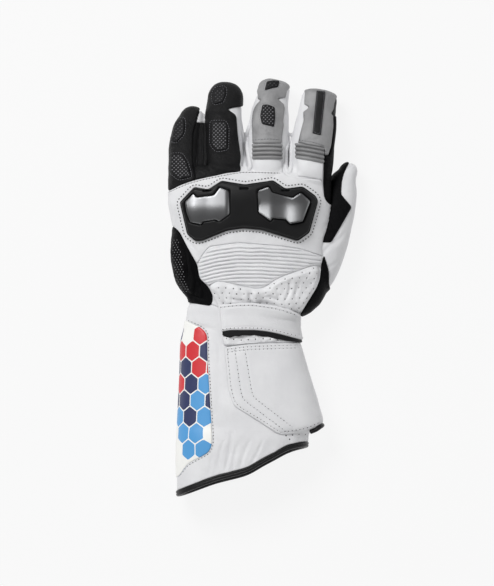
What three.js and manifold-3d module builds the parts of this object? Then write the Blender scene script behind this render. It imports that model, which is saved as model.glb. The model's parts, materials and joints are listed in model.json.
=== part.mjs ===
// Gauntlet racing glove for a left hand, in millimetres. It lies palm down on the table with
// its fingers towards +Y, its thumb towards +X and its back towards +Z.
import * as THREE from 'three';
import { mergeVertices } from 'three/addons/utils/BufferGeometryUtils.js';
import Module from 'manifold-3d';

const wasm = await Module();
wasm.setup();

// Driving dimensions: leather thicknesses and the clearance between pieces
const gap = 0.3;
const seamGap = 0.17;
const wall = 2.2;
const panelThickness = 1.4;
const padThickness = 0.9;
const guardPlate = 2.6;
const guardCrown = 2.2;
const guardShoulder = 2.2;
const pocketDepth = 0.9;
const insertThickness = 1.5;
const tapeThickness = 1.0;
const strapThickness = 1.8;
const ribRise = 1.1;
const ribRoot = 0.4;
const flapExtra = 0.5;
const pipingRadius = 1.5;
const hemWidth = 4.2;
const hemThickness = 3.4;
const hemProud = 0.6;
const hemSlope = 0.06;
const hemTop = 45;

// Heights above the bare glove where each layer of pieces starts and ends
const panelLow = gap;
const panelHigh = panelLow + panelThickness;
const trimLow = panelHigh + gap;
const ceiling = 90;

// Lowest heights that pieces reach: at the sides of the cuff, the hand and the wrist, on the
// back, and below the middle line of a finger
const cuffFloor = 7;
const webFloor = 8;
const sideFloor = 9;
const wristFloor = 12;
const backFloor = 20;
const fingerDrop = 2;

// Fineness of the lofted forms
const outerSides = { bodyTop: 11, bodyBottom: 5, finger: 10 };
const innerSides = { bodyTop: 9, bodyBottom: 4, finger: 8 };
const capSteps = 3;
const capEnd = 0.35;
const bodyPower = 2.5;
const fingerPower = 2.3;

// Where the hand ends at the wrist, and where the fingers and the thumb are sewn on
const wristY = -26;
const fingerY = 94;
const thumbSeat = new THREE.Vector3(59.5, 63, 15);
const thumbHeading = new THREE.Vector3(0.2, 0.98, -0.06).normalize();

// Sections of hand and gauntlet. A bottom below zero is pressed flat on the table.
const bodyRows = [
  { y: -172, left: -63.6, right: 27.0, top: 45.0, bottom: -7, mid: 20.0 },
  { y: -118, left: -65.3, right: 35.0, top: 45.0, bottom: -7, mid: 20.0 },
  { y: -110, left: -65.0, right: 40.0, top: 44.5, bottom: -7, mid: 20.0 },
  { y: -103, left: -64.7, right: 43.5, top: 44.0, bottom: -7, mid: 20.0 },
  { y: -70, left: -62.8, right: 34.0, top: 41.5, bottom: -7, mid: 19.0 },
  { y: -43, left: -61.4, right: 25.4, top: 39.0, bottom: -6, mid: 18.0 },
  { y: -32, left: -61.0, right: 23.6, top: 38.0, bottom: -6, mid: 17.5 },
  { y: -22, left: -60.4, right: 27.8, top: 37.5, bottom: -6, mid: 17.5 },
  { y: -16, left: -58.6, right: 38.5, top: 38.0, bottom: -6, mid: 18.0 },
  { y: -11.5, left: -56.2, right: 42.0, top: 38.5, bottom: -6, mid: 18.0 },
  { y: 6, left: -65.5, right: 44.0, top: 41.0, bottom: -6, mid: 19.0 },
  { y: 26, left: -69.8, right: 46.4, top: 43.2, bottom: -6, mid: 19.8 },
  { y: 66, left: -71.4, right: 51.0, top: 45.0, bottom: -2, mid: 22.5 },
  { y: 78, left: -71.2, right: 51.6, top: 43.5, bottom: 3, mid: 23.5 },
  { y: 88, left: -70.4, right: 51.5, top: 40.0, bottom: 9, mid: 24.5 },
  { y: 93, left: -68.0, right: 49.5, top: 36.0, bottom: 14, mid: 25.0 },
];

// Sections of each finger along its middle line. wide and thick are half sizes, cap is the length
// of the rounded tip and blunt is how square that tip is.
const fingerTables = {
  pinky: {
    cap: 10,
    blunt: 2.2,
    rows: [
      { x: -58.2, y: 80, z: 25.2, wide: 12.0, thick: 12.0 },
      { x: -58.8, y: 92, z: 24.0, wide: 11.9, thick: 12.0 },
      { x: -58.8, y: 104, z: 21.5, wide: 11.8, thick: 11.6 },
      { x: -57.6, y: 118, z: 16.6, wide: 11.2, thick: 10.8 },
      { x: -55.0, y: 127, z: 12.6, wide: 10.2, thick: 10.0 },
    ],
  },
  ring: {
    cap: 13,
    blunt: 2.4,
    rows: [
      { x: -28.6, y: 80, z: 27.6, wide: 14.0, thick: 13.2 },
      { x: -28.7, y: 93, z: 26.8, wide: 14.5, thick: 13.4 },
      { x: -29.4, y: 108, z: 24.0, wide: 13.9, thick: 12.8 },
      { x: -29.0, y: 128, z: 18.2, wide: 13.6, thick: 12.0 },
      { x: -27.3, y: 143, z: 12.8, wide: 12.8, thick: 11.0 },
    ],
  },
  middle: {
    cap: 12,
    blunt: 3,
    rows: [
      { x: 2.2, y: 80, z: 28.2, wide: 15.0, thick: 13.8 },
      { x: 2.8, y: 94, z: 27.2, wide: 15.3, thick: 13.9 },
      { x: 3.4, y: 108, z: 24.5, wide: 15.6, thick: 13.4 },
      { x: 4.2, y: 122, z: 20.5, wide: 15.2, thick: 12.8 },
      { x: 6.8, y: 138, z: 15.3, wide: 13.0, thick: 11.8 },
      { x: 9.8, y: 145.6, z: 12.2, wide: 12.2, thick: 11.0 },
    ],
  },
  index: {
    cap: 11.5,
    blunt: 3,
    rows: [
      { x: 35.4, y: 80, z: 25.6, wide: 14.2, thick: 12.0 },
      { x: 37.0, y: 92, z: 27.2, wide: 15.3, thick: 13.7 },
      { x: 37.8, y: 106, z: 24.0, wide: 15.8, thick: 13.2 },
      { x: 39.8, y: 120, z: 19.6, wide: 14.9, thick: 12.6 },
      { x: 41.9, y: 132, z: 15.2, wide: 13.3, thick: 11.6 },
      { x: 42.7, y: 140, z: 12.2, wide: 12.4, thick: 10.8 },
    ],
  },
  thumb: {
    cap: 9,
    blunt: 2,
    rows: [
      { x: 27.0, y: -7, z: 18.0, wide: 12.5, thick: 14.0 },
      { x: 39.6, y: 14, z: 18.5, wide: 19.8, thick: 17.0 },
      { x: 48.3, y: 34, z: 17.0, wide: 17.2, thick: 15.5 },
      { x: 55.4, y: 52, z: 15.6, wide: 14.4, thick: 13.8 },
      { x: 60.2, y: 68, z: 14.2, wide: 12.0, thick: 12.4 },
      { x: 62.4, y: 79, z: 12.8, wide: 10.3, thick: 11.4 },
      { x: 65.2, y: 86.5, z: 11.4, wide: 7.3, thick: 10.2 },
    ],
  },
};

// Seams that two panels share, as [x, y] seen from above
const seams = {
  knuckle: [[-84, 71], [-72, 74], [-63, 78.4], [-52, 82.2], [-40, 85], [-28, 87.3], [-17, 89.2]],
  ulnar: [
    [-84, 50], [-70, 47], [-64.3, 42.4], [-57.4, 29.3], [-50.4, 17], [-48.5, 6.2],
    [-41.4, -0.4], [-38.1, -7.7], [-39.7, -14.8],
  ],
  ribTop: [[-50.4, 17], [-46, 25], [-41, 31], [-18, 33.8], [12, 31.6], [30, 29], [46.6, 23.5]],
  ribBottom: [[-48.5, 6.2], [-41.4, -0.4], [-20, 1], [-4, -1], [4, 3], [15, 9.5], [29, 13.5], [45.5, 16]],
  radial: [[45.5, 16], [43.8, 4.6], [40.7, -3.9], [35, -13], [29, -21.6]],
  flapEdge: [[-29.5, -46], [-27.6, -66], [-26.4, -79], [-22.4, -91.3], [-4, -102.4], [12, -113]],
};

// Outlines of the single panels, as [x, y] seen from above
const outlines = {
  middle: [[-9.5, 110.6], [-9.6, 128], [-8, 139], [-2.8, 143.6], [-4.5, 146.5], [-8, 172], [28, 172],
    [24, 146.5], [15.8, 142.8], [18.9, 138], [18.4, 124], [17.2, 110.6], [4, 111.8]],
  index: [[25.6, 111], [27.8, 124], [31, 135.4], [35, 138.3], [28.6, 140.6], [26, 166], [64, 166],
    [62, 140], [54.6, 132], [54.3, 118], [53.6, 108.5], [51.2, 101.2], [48.2, 101.2], [48, 106.6],
    [38, 110]],
  indexSide: [[55.2, 131.5], [54.9, 118], [54.2, 108.2], [51.6, 100.6], [47.9, 100.6], [47.2, 80],
    [48.6, 67.6], [52.2, 63], [66, 63], [66, 131.5]],
  thumbWeb: [[67.6, 99], [62.9, 89.8], [60.9, 81], [60.3, 71.6], [69.6, 61.4], [53, 34], [40, 34],
    [40, 99]],
  radialStrip: [[47.2, 25.2], [51.7, 11.4], [51.9, 1], [56, -9], [50, -20], [30.2, -25.4],
    [29.4, -21.4]],
  patch: [[41.7, 160], [48.8, 160], [45.4, 117.4], [38.2, 117.4]],
  print: [[-78, -19], [-60.4, -25.4], [-47, -31.4], [-42.8, -36], [-42.4, -57], [-38.7, -116],
    [-39.4, -123], [-42.4, -127.4], [-57.8, -135.6], [-66, -146], [-78, -150]],
  flapRight: [[35.3, -110.4], [45, -106], [52, -101], [52, -42.2], [29, -42.2], [-12, -43.6]],
  guard: [[-63.3, 65.2], [-52.8, 77.2], [-42, 75.3], [-31.6, 82.2], [-13.6, 79.1], [8.3, 82.5],
    [17.7, 75.9], [31, 77.6], [40.5, 70.3], [42.7, 66], [35.8, 42], [27.2, 35.5], [-1.2, 43.3],
    [-14.9, 44.5], [-27, 42.8], [-46.7, 36], [-51.9, 35.5], [-58.3, 40.7], [-63.1, 62.6]],
  insertLeft: [[-59.6, 65.1], [-53.1, 71.6], [-50.4, 68.6], [-37.3, 70.3], [-33, 76.3],
    [-25.3, 73.8], [-25.3, 55.7], [-33.4, 50.1], [-36, 51.8], [-45.9, 50.1], [-46.7, 47.8],
    [-55.3, 49.7], [-58.3, 57.4]],
  insertRight: [[-4.2, 73.8], [4.9, 76.8], [7, 72.5], [22.9, 68.1], [29.3, 72.1], [36.7, 65.6],
    [30.6, 50.1], [20.7, 48.2], [17.7, 51.8], [7.4, 52.7], [6.2, 50.3], [-3.3, 57]],
};

// The white leather between the ribs of a finger and the knuckle seam
const baseOutlines = {
  middle: [[-8, 97.3], [16, 97.3], [16, 89], [-8, 89.8]],
  index: [[24.6, 96.9], [47.2, 93.7], [46.8, 82.2], [26.6, 84.4]],
};

// The perforated pads on the backs of the fingers
const padOutlines = {
  pinky_pad_upper: [[-67, 128], [-60.4, 130], [-59.8, 123.7], [-60.6, 117.3], [-66.6, 111],
    [-70.4, 112.4]],
  pinky_pad_lower: [[-70.6, 102], [-61.8, 102], [-57.9, 95.6], [-54.7, 84.6], [-64, 82.6], [-71, 88]],
  ring_pad_upper: [[-36.9, 152.4], [-28.6, 154], [-28.2, 148], [-30.5, 142.2], [-37.5, 140.3],
    [-38.4, 147]],
  ring_pad_lower: [[-39.6, 127], [-28.6, 127], [-26.6, 122.4], [-26.9, 105.8], [-35.6, 104.4],
    [-39.8, 109.6]],
  middle_pad_upper: [[3.4, 157.2], [13.2, 157.2], [12.3, 153.7], [3.4, 151.2], [1.2, 152.4],
    [1.2, 156.4]],
  middle_pad_lower: [[0.2, 140], [9.8, 139.2], [10.2, 132.6], [8.9, 123.7], [4, 123], [-1.4, 126.3],
    [-2.2, 134]],
};

// Hem of the gauntlet seen from above, from the little-finger side to the thumb side
const hemCurve = [[-76, -158.7], [-64.8, -155], [-50.7, -150.4], [-35.4, -145.2], [-21.2, -142],
  [-11.9, -138.4], [0, -131.4], [8.2, -127.2], [21.2, -120.4], [35, -117.8], [60, -116.5]];

// Accordion ribs on the back of the hand: height of the middle of the first one, and their pitch
const backRibs = {
  count: 11, firstY: 32.4, pitch: 2.85, middleX: -14, dropLeft: 0.0048, dropRight: 0.0011,
  left: -53, right: 49, columns: 8, margin: 6,
};
const fingerRibs = { count: 4, pitch: 3.1, share: 0.64 };

// Colours of the materials as seen on the glove
const finishes = {
  whiteLeather: { color: 0xe2e2e6, roughness: 0.55, metalness: 0 },
  blackLeather: { color: 0x1d1d20, roughness: 0.6, metalness: 0 },
  silverLeather: { color: 0x9c9ea2, roughness: 0.42, metalness: 0.25 },
  blackMesh: { color: 0x141416, roughness: 0.85, metalness: 0 },
  guardPlastic: { color: 0x1b1b1d, roughness: 0.5, metalness: 0 },
  satinMetal: { color: 0xa3a5a6, roughness: 0.3, metalness: 1 },
  printedLeather: { color: 0xc83238, roughness: 0.5, metalness: 0 },
  blackBinding: { color: 0x101012, roughness: 0.5, metalness: 0 },
};

// A closed solid from points and triangles
function solidFrom(points, faces) {
  const vertProperties = new Float32Array(points.flatMap((point) => [point.x, point.y, point.z]));
  const triVerts = new Uint32Array(faces);
  return new wasm.Manifold(new wasm.Mesh({ numProp: 3, vertProperties, triVerts }));
}

function solidFromGeometry(geometry) {
  geometry.deleteAttribute('normal');
  geometry.deleteAttribute('uv');
  const merged = mergeVertices(geometry, 1e-4);
  const vertProperties = new Float32Array(merged.attributes.position.array);
  const triVerts = new Uint32Array(merged.index.array);
  return new wasm.Manifold(new wasm.Mesh({ numProp: 3, vertProperties, triVerts }));
}

// Joins rings of points that follow each other into one closed surface, with a fan on each end
function loft(rings) {
  const count = rings[0].length;
  const points = rings.flat();
  const faces = [];
  for (let r = 0; r + 1 < rings.length; r += 1) {
    for (let i = 0; i < count; i += 1) {
      const a = r * count + i;
      const b = r * count + ((i + 1) % count);
      faces.push(a, b + count, b, a, a + count, b + count);
    }
  }
  const last = (rings.length - 1) * count;
  const start = points.length;
  points.push(centreOf(rings[0]), centreOf(rings[rings.length - 1]));
  for (let i = 0; i < count; i += 1) {
    const next = (i + 1) % count;
    faces.push(start, i, next, start + 1, last + next, last + i);
  }
  return solidFrom(points, faces);
}

function centreOf(ring) {
  const sum = ring.reduce((total, point) => total.add(point), new THREE.Vector3());
  return sum.divideScalar(ring.length);
}

function softPower(value, power) {
  return Math.sign(value) * Math.abs(value) ** (2 / power);
}

// The inside of the leather has fewer sides than the outside
function sidesFor(grow) {
  return grow < 0 ? innerSides : outerSides;
}

// Angles round a section: more of them over the back than under the palm
function bodyAngles(sides) {
  const top = Array.from({ length: sides.bodyTop }, (_, i) => (Math.PI * i) / sides.bodyTop);
  const below = (i) => Math.PI * (1 + i / sides.bodyBottom);
  const bottom = Array.from({ length: sides.bodyBottom }, (_, i) => below(i));
  return [...top, ...bottom];
}

// The hand and gauntlet, grown outwards by a distance, or shrunk to the inside of the leather
function bodyForm(grow) {
  const angles = bodyAngles(sidesFor(grow));
  const rings = bodyRows.map((row, place) => {
    const centreX = (row.left + row.right) / 2;
    const halfWidth = (row.right - row.left) / 2 + grow;
    const endGrow = place === bodyRows.length - 1 ? grow : 0;
    return angles.map((angle) => {
      const across = softPower(Math.cos(angle), bodyPower) * halfWidth;
      const rise = softPower(Math.sin(angle), bodyPower);
      const reach = (rise > 0 ? row.top - row.mid : row.mid - row.bottom) + grow;
      const height = Math.max(row.mid + rise * reach, -grow);
      return new THREE.Vector3(centreX + across, row.y + endGrow, height);
    });
  });
  return loft(rings);
}

// Height of the back of the hand over a point seen from above
function bodyHeight(x, y, grow) {
  const place = bodyRows.findIndex((row, index) => index > 0 && row.y >= y);
  const before = bodyRows[place - 1];
  const after = bodyRows[place];
  const share = (y - before.y) / (after.y - before.y);
  const between = (column) => before[column] + (after[column] - before[column]) * share;
  const halfWidth = (between('right') - between('left')) / 2 + grow;
  const across = Math.min(Math.abs(x - (between('left') + between('right')) / 2) / halfWidth, 1);
  const rise = (1 - across ** bodyPower) ** (1 / bodyPower);
  return between('mid') + rise * (between('top') - between('mid') + grow);
}

// One ring of a finger, square to its middle line
function fingerRing(centre, heading, wide, thick, grow) {
  const right = new THREE.Vector3(heading.y, -heading.x, 0).normalize();
  const up = new THREE.Vector3().crossVectors(right, heading);
  const sides = sidesFor(grow).finger;
  const ring = [];
  for (let i = 0; i < sides; i += 1) {
    const angle = (i / sides) * Math.PI * 2;
    const point = centre.clone();
    point.addScaledVector(right, softPower(Math.cos(angle), fingerPower) * wide);
    point.addScaledVector(up, softPower(Math.sin(angle), fingerPower) * thick);
    point.z = Math.max(point.z, -grow);
    ring.push(point);
  }
  return ring;
}

// A finger or the thumb: its straight rows, then a rounded tip
function fingerForm(name, grow) {
  const { rows, cap, blunt } = fingerTables[name];
  const centres = rows.map((row) => new THREE.Vector3(row.x, row.y, row.z));
  const rings = rows.map((row, place) => {
    const before = centres[Math.max(place - 1, 0)];
    const after = centres[Math.min(place + 1, rows.length - 1)];
    const heading = after.clone().sub(before).normalize();
    const centre = centres[place].clone().addScaledVector(heading, place === 0 ? -grow : 0);
    return fingerRing(centre, heading, row.wide + grow, row.thick + grow, grow);
  });
  const last = rows[rows.length - 1];
  const end = centres[rows.length - 1];
  const heading = end.clone().sub(centres[rows.length - 2]).normalize();
  for (let step = 1; step <= capSteps; step += 1) {
    const turn = (step / (capSteps + capEnd)) * (Math.PI / 2);
    const along = Math.sin(turn) ** (2 / blunt) * (cap + grow);
    const shrink = Math.cos(turn) ** (2 / blunt);
    const centre = end.clone().addScaledVector(heading, along);
    const wide = (last.wide + grow) * shrink;
    const thick = (last.thick + grow) * shrink;
    rings.push(fingerRing(centre, heading, wide, thick, grow));
  }
  return loft(rings);
}

// Every grown form is made once and kept
const formCache = new Map();
function form(name, grow) {
  const key = `${name} ${grow.toFixed(3)}`;
  if (!formCache.has(key)) {
    formCache.set(key, name === 'body' ? bodyForm(grow) : fingerForm(name, grow));
  }
  return formCache.get(key);
}

function formsJoined(names, grow) {
  return names.map((name) => form(name, grow)).reduce((joined, next) => joined.add(next));
}

// Moves an outline outwards, or inwards when the distance is negative
function offsetOutline(points, distance) {
  const clockwise = THREE.ShapeUtils.isClockWise(points.map(([x, y]) => new THREE.Vector2(x, y)));
  const side = clockwise ? -1 : 1;
  return points.map((point, place) => {
    const before = points[(place + points.length - 1) % points.length];
    const after = points[(place + 1) % points.length];
    const first = new THREE.Vector2(point[1] - before[1], before[0] - point[0]).normalize();
    const second = new THREE.Vector2(after[1] - point[1], point[0] - after[0]).normalize();
    const normal = first.clone().add(second).normalize();
    const stretch = Math.max(normal.dot(first), 0.4);
    const move = (side * distance) / stretch;
    return [point[0] + normal.x * move, point[1] + normal.y * move];
  });
}

// A closed outline with its corners cut round
function roundOutline(points, share = 0.22) {
  return points.flatMap((point, place) => {
    const before = points[(place + points.length - 1) % points.length];
    const after = points[(place + 1) % points.length];
    const towards = (other) => [
      point[0] + (other[0] - point[0]) * share,
      point[1] + (other[1] - point[1]) * share,
    ];
    return [towards(before), towards(after)];
  });
}

// An upright prism over an outline. With a slope it leans along Y, and keeps its outline at a level.
function prism(points, low, high, slope = 0, level = 0) {
  const shape = new THREE.Shape(points.map(([x, y]) => new THREE.Vector2(x, y)));
  const geometry = new THREE.ExtrudeGeometry(shape, { depth: high - low, bevelEnabled: false });
  geometry.translate(0, 0, low);
  const places = geometry.attributes.position;
  for (let i = 0; i < places.count; i += 1) {
    places.setY(i, places.getY(i) + (places.getZ(i) - level) * slope);
  }
  return solidFromGeometry(geometry);
}

// Everything on the far side of a plane through a point, as a large block
function blockBeyond(point, heading) {
  const size = 400;
  const block = new THREE.BoxGeometry(size, size, size);
  block.translate(0, size / 2, 0);
  const turn = new THREE.Quaternion().setFromUnitVectors(new THREE.Vector3(0, 1, 0), heading);
  block.applyQuaternion(turn);
  block.translate(point.x, point.y, point.z);
  return solidFromGeometry(block);
}

const forward = new THREE.Vector3(0, 1, 0);

function beyondY(y) {
  return blockBeyond(new THREE.Vector3(0, y, 0), forward);
}

// A panel that follows one or more forms under an outline, between two heights above them
function layer(names, outline, low, high, floor = sideFloor) {
  const cut = prism(offsetOutline(outline, -seamGap), floor, ceiling);
  const piece = formsJoined(names, high).intersect(cut);
  return wholeHand.reduce((rest, name) => rest.subtract(form(name, low)), piece);
}

// The space over a finger, from a distance below its middle line upwards
function overFinger(name, drop) {
  const { rows } = fingerTables[name];
  const centres = rows.map((row) => new THREE.Vector3(row.x, row.y, row.z));
  const last = centres.length - 1;
  const reach = 40;
  centres.unshift(centres[0].clone().add(new THREE.Vector3(0, -reach, 0)));
  const heading = centres[last + 1].clone().sub(centres[last]).normalize();
  centres.push(centres[last + 1].clone().addScaledVector(heading, reach));
  const rings = centres.map((centre) => [
    centre.clone().add(new THREE.Vector3(reach, 0, -drop)),
    centre.clone().add(new THREE.Vector3(reach, 0, reach)),
    centre.clone().add(new THREE.Vector3(-reach, 0, reach)),
    centre.clone().add(new THREE.Vector3(-reach, 0, -drop)),
  ]);
  return loft(rings);
}

// A panel on the back of one finger
function fingerLayer(name, outline, low, high, drop) {
  const names = outline.some(([, y]) => y < fingerY) ? ['body', name] : [name];
  return layer(names, outline, low, high, 0).intersect(overFinger(name, drop));
}

const fingerNames = ['pinky', 'ring', 'middle', 'index'];
const wholeHand = ['body', ...fingerNames, 'thumb'];

// The palm and back of the hand in one hollow piece, open at the wrist and at each finger
function handShell() {
  const thumbRoot = form('thumb', 0).subtract(blockBeyond(thumbSeat, thumbHeading));
  const outside = formsJoined(['body', ...fingerNames], 0).subtract(beyondY(fingerY)).add(thumbRoot);
  const inside = formsJoined(wholeHand, -wall);
  return outside.intersect(beyondY(wristY)).subtract(inside);
}

// A hollow finger, sewn to the hand at its open end
function fingerStall(name) {
  const hollow = form(name, 0).subtract(form(name, -wall));
  return hollow.intersect(beyondY(fingerY + gap));
}

function thumbStall() {
  const seat = thumbSeat.clone().addScaledVector(thumbHeading, gap);
  const hollow = form('thumb', 0).subtract(form('thumb', -wall));
  const beyondSeat = hollow.intersect(blockBeyond(seat, thumbHeading));
  return beyondSeat.subtract(formsJoined(['body', 'index'], trimLow));
}

// Everything of the gauntlet above its slanted hem, moved down the arm by a distance
function aboveHem(shift) {
  const edge = hemCurve.map(([x, y]) => [x, y - shift]);
  const outline = [...edge, [60, 0], [-76, 0]];
  return prism(outline, -20, ceiling, hemSlope, hemTop);
}

function gauntlet() {
  const hollow = form('body', 0).subtract(form('body', -wall));
  return hollow.intersect(aboveHem(0)).subtract(beyondY(wristY - gap));
}

function hemBinding() {
  const roll = form('body', hemProud).subtract(form('body', hemProud - hemThickness));
  const band = aboveHem(gap + hemWidth).subtract(aboveHem(gap));
  const table = prism([[-100, -200], [100, -200], [100, 0], [-100, 0]], 0, ceiling);
  return roll.intersect(band).intersect(table);
}

// Seams are shared, so each panel outline is put together from them
function backPanel() {
  const outline = [
    ...seams.knuckle, [-12, 89.4], [16.4, 88.6], [18, 86], [24, 85.6], [26, 83.8], [46.4, 81.6],
    [47, 74], [48.4, 67], [53, 62.6], [62, 62], [62, 25.4], [46.6, 25.2],
    ...seams.ribTop.toReversed(),
    ...seams.ulnar.slice(0, 4).toReversed(),
  ];
  return layer(['body', ...fingerNames], outline, panelLow, panelHigh, backFloor);
}

// One line across the back of the hand, from the table up, over the ribs and down again
function ribRing(line) {
  const crest = line % 2 === 1 && line > 0 && line < backRibs.count * 2;
  const rise = crest ? ribRise : 0;
  const ring = [new THREE.Vector3(backRibs.right, backRibY(line, backRibs.right), 1)];
  for (let column = backRibs.columns; column >= 0; column -= 1) {
    const x = backRibs.left + ((backRibs.right - backRibs.left) * column) / backRibs.columns;
    const y = backRibY(line, x);
    ring.push(new THREE.Vector3(x, y, bodyHeight(x, y, panelHigh - ribRoot) + rise));
  }
  ring.push(new THREE.Vector3(backRibs.left, backRibY(line, backRibs.left), 1));
  return ring;
}

function backRibY(line, x) {
  const away = x - backRibs.middleX;
  const drop = away < 0 ? backRibs.dropLeft : backRibs.dropRight;
  return backRibs.firstY - (line * backRibs.pitch) / 2 - drop * away * away;
}

// The accordion panel: a thick slab with ribs on it, cut to its seams and to the hand below it
function ribPanel() {
  const outline = [...seams.ribTop, [45.5, 16], ...seams.ribBottom.slice(0, -1).toReversed()];
  const rings = [];
  const lines = backRibs.count * 2;
  for (let line = lines + backRibs.margin; line > lines; line -= backRibs.margin / 2) {
    rings.push(ribRing(line));
  }
  for (let line = lines; line >= 0; line -= 1) {
    rings.push(ribRing(line));
  }
  for (let line = -backRibs.margin / 2; line >= -backRibs.margin; line -= backRibs.margin / 2) {
    rings.push(ribRing(line));
  }
  const slab = loft(rings).subtract(form('body', panelLow)).subtract(form('thumb', panelLow));
  return slab.intersect(prism(offsetOutline(outline, -seamGap), backFloor, ceiling));
}

function wristPanel() {
  const outline = [
    ...seams.ribBottom.slice(1), ...seams.radial.slice(1), [29.6, -25], [40, -30], [40, -41.6],
    [-10, -43], [-30, -45.4], [-33, -22], [-34, -15], seams.ulnar[7],
  ];
  return layer(['body', 'thumb'], outline, panelLow, panelHigh, wristFloor);
}

function sidePanel() {
  const outline = [...seams.ulnar, [-52, -12.8], [-60, -11.6], [-84, -11.6]];
  return layer(['body'], outline, panelLow, panelHigh);
}

function radialStrip() {
  const outline = [...seams.radial, ...outlines.radialStrip.toReversed()];
  return layer(['body', 'thumb'], outline, panelLow, panelHigh);
}

function indexSide() {
  return layer(['body', 'index'], outlines.indexSide, panelLow, panelHigh, backFloor);
}

function thumbWeb() {
  const web = layer(['thumb'], outlines.thumbWeb, panelLow, panelHigh, webFloor);
  return web.subtract(formsJoined(['body', 'index'], trimLow));
}

// Back of the little finger, from the knuckle seam over its tip
function pinkyBack() {
  const outline = [
    ...seams.knuckle.slice(0, 4), [-53.4, 100], [-53, 118], [-50.4, 127.6], [-44, 131], [-44, 150],
    [-90, 150],
  ];
  const panel = fingerLayer('pinky', outline, panelLow, panelHigh, fingerDrop);
  return panel.subtract(form('ring', panelHigh + gap));
}

function ringBack() {
  const outline = [
    ...seams.knuckle.slice(3), [-15.6, 100], [-18.2, 118], [-18.6, 134], [-21, 136.8], [-26.5, 138.2],
    [-20.8, 141], [-19.6, 154], [-24, 172], [-60, 172], [-46.4, 128], [-48, 104], [-52.6, 96],
  ];
  const panel = fingerLayer('ring', outline, panelLow, panelHigh, fingerDrop);
  return panel.subtract(form('pinky', panelHigh + gap));
}

function fingerBack(name) {
  return fingerLayer(name, outlines[name], panelLow, panelHigh, fingerDrop);
}

// Accordion ribs across a finger, between a left and a right edge, that slope down to the right
function fingerRibPanel(name, left, right, topY, slant) {
  const fall = slant * (right - left);
  const band = (high, low) => [[left, high], [right, high - fall], [right, low - fall], [left, low]];
  const length = fingerRibs.count * fingerRibs.pitch;
  const forms = ['body', name];
  let panel = layer(forms, band(topY, topY - length), panelLow, panelHigh - ribRoot, backFloor);
  const ridgeLow = panelHigh - 2 * ribRoot;
  const ridge = formsJoined(forms, panelHigh + ribRise).subtract(formsJoined(forms, ridgeLow));
  const valley = (1 - fingerRibs.share) / 2;
  for (let place = 0; place < fingerRibs.count; place += 1) {
    const high = topY - (place + valley) * fingerRibs.pitch;
    const low = high - fingerRibs.share * fingerRibs.pitch;
    const strip = offsetOutline(band(high, low), -seamGap);
    panel = panel.add(ridge.intersect(prism(strip, backFloor, ceiling)));
  }
  return panel;
}

function fingerBase(name) {
  return layer(['body', name], baseOutlines[name], panelLow, panelHigh, backFloor);
}

// The leather that fills the valley between the little finger and the ring finger
function fingerBridge() {
  const rows = [
    { y: 84.4, top: 38.2, left: -57, right: -43.5 },
    { y: 100, top: 35.2, left: -57, right: -42.5 },
    { y: 114, top: 30.4, left: -56, right: -42.5 },
    { y: 126, top: 25.4, left: -54, right: -43 },
  ];
  const depth = 8;
  const rings = rows.map((row) => [
    new THREE.Vector3(row.right, row.y, row.top - depth),
    new THREE.Vector3(row.right, row.y, row.top),
    new THREE.Vector3(row.left, row.y, row.top),
    new THREE.Vector3(row.left, row.y, row.top - depth),
  ]);
  const clear = formsJoined(['body', 'pinky', 'ring'], panelHigh + gap);
  return loft(rings).subtract(clear);
}

function pad(name) {
  const finger = name.split('_')[0];
  const outline = roundOutline(padOutlines[name]);
  return fingerLayer(finger, outline, trimLow, trimLow + padThickness, 0);
}

function indexPatch() {
  return fingerLayer('index', outlines.patch, trimLow, trimLow + padThickness, 0);
}

// Hard knuckle guard: a plate, a smaller crown on it, and two pockets for the metal inserts
function knuckleGuard() {
  const plate = layer(['body'], outlines.guard, trimLow, trimLow + guardPlate);
  const crownLow = trimLow + guardPlate - pocketDepth / 2;
  const crownHigh = trimLow + guardPlate + guardCrown;
  const crown = layer(['body'], offsetOutline(outlines.guard, -guardShoulder), crownLow, crownHigh);
  const pocketFloor = form('body', trimLow + guardPlate - pocketDepth);
  const pockets = ['insertLeft', 'insertRight']
    .map((name) => prism(offsetOutline(outlines[name], gap), sideFloor, ceiling).subtract(pocketFloor))
    .reduce((joined, next) => joined.add(next));
  return plate.add(crown).subtract(pockets);
}

function guardInsert(name) {
  const low = trimLow + guardPlate - pocketDepth + gap;
  return layer(['body'], outlines[name], low, low + insertThickness);
}

// The strap over the wrist, with the black hook tape that shows below it
function strapTape() {
  const outline = [
    [-31, -20], [-9.6, -16], [10, -18], [27, -24], [40, -30], [40, -43.5], [28, -41.9], [13.3, -38.4],
    [-9.6, -37.4], [-31.3, -36.4],
  ];
  return layer(['body'], outline, trimLow, trimLow + tapeThickness, wristFloor);
}

function wristStrap() {
  const outline = [
    [-33.1, -13.8], [-20, -12.4], [-8, -12], [10, -14.6], [29, -20.4], [44, -26], [44, -43.4],
    [28.6, -41.2], [10, -35.8], [-8, -33.2], [-20, -33.2], [-31.8, -34.4],
  ];
  const low = trimLow + tapeThickness + gap;
  return layer(['body'], outline, low, low + strapThickness, cuffFloor);
}

function cuffFlap() {
  const outline = [...seams.flapEdge, ...outlines.flapRight];
  return layer(['body'], outline, panelLow, panelHigh + flapExtra, cuffFloor);
}

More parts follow.
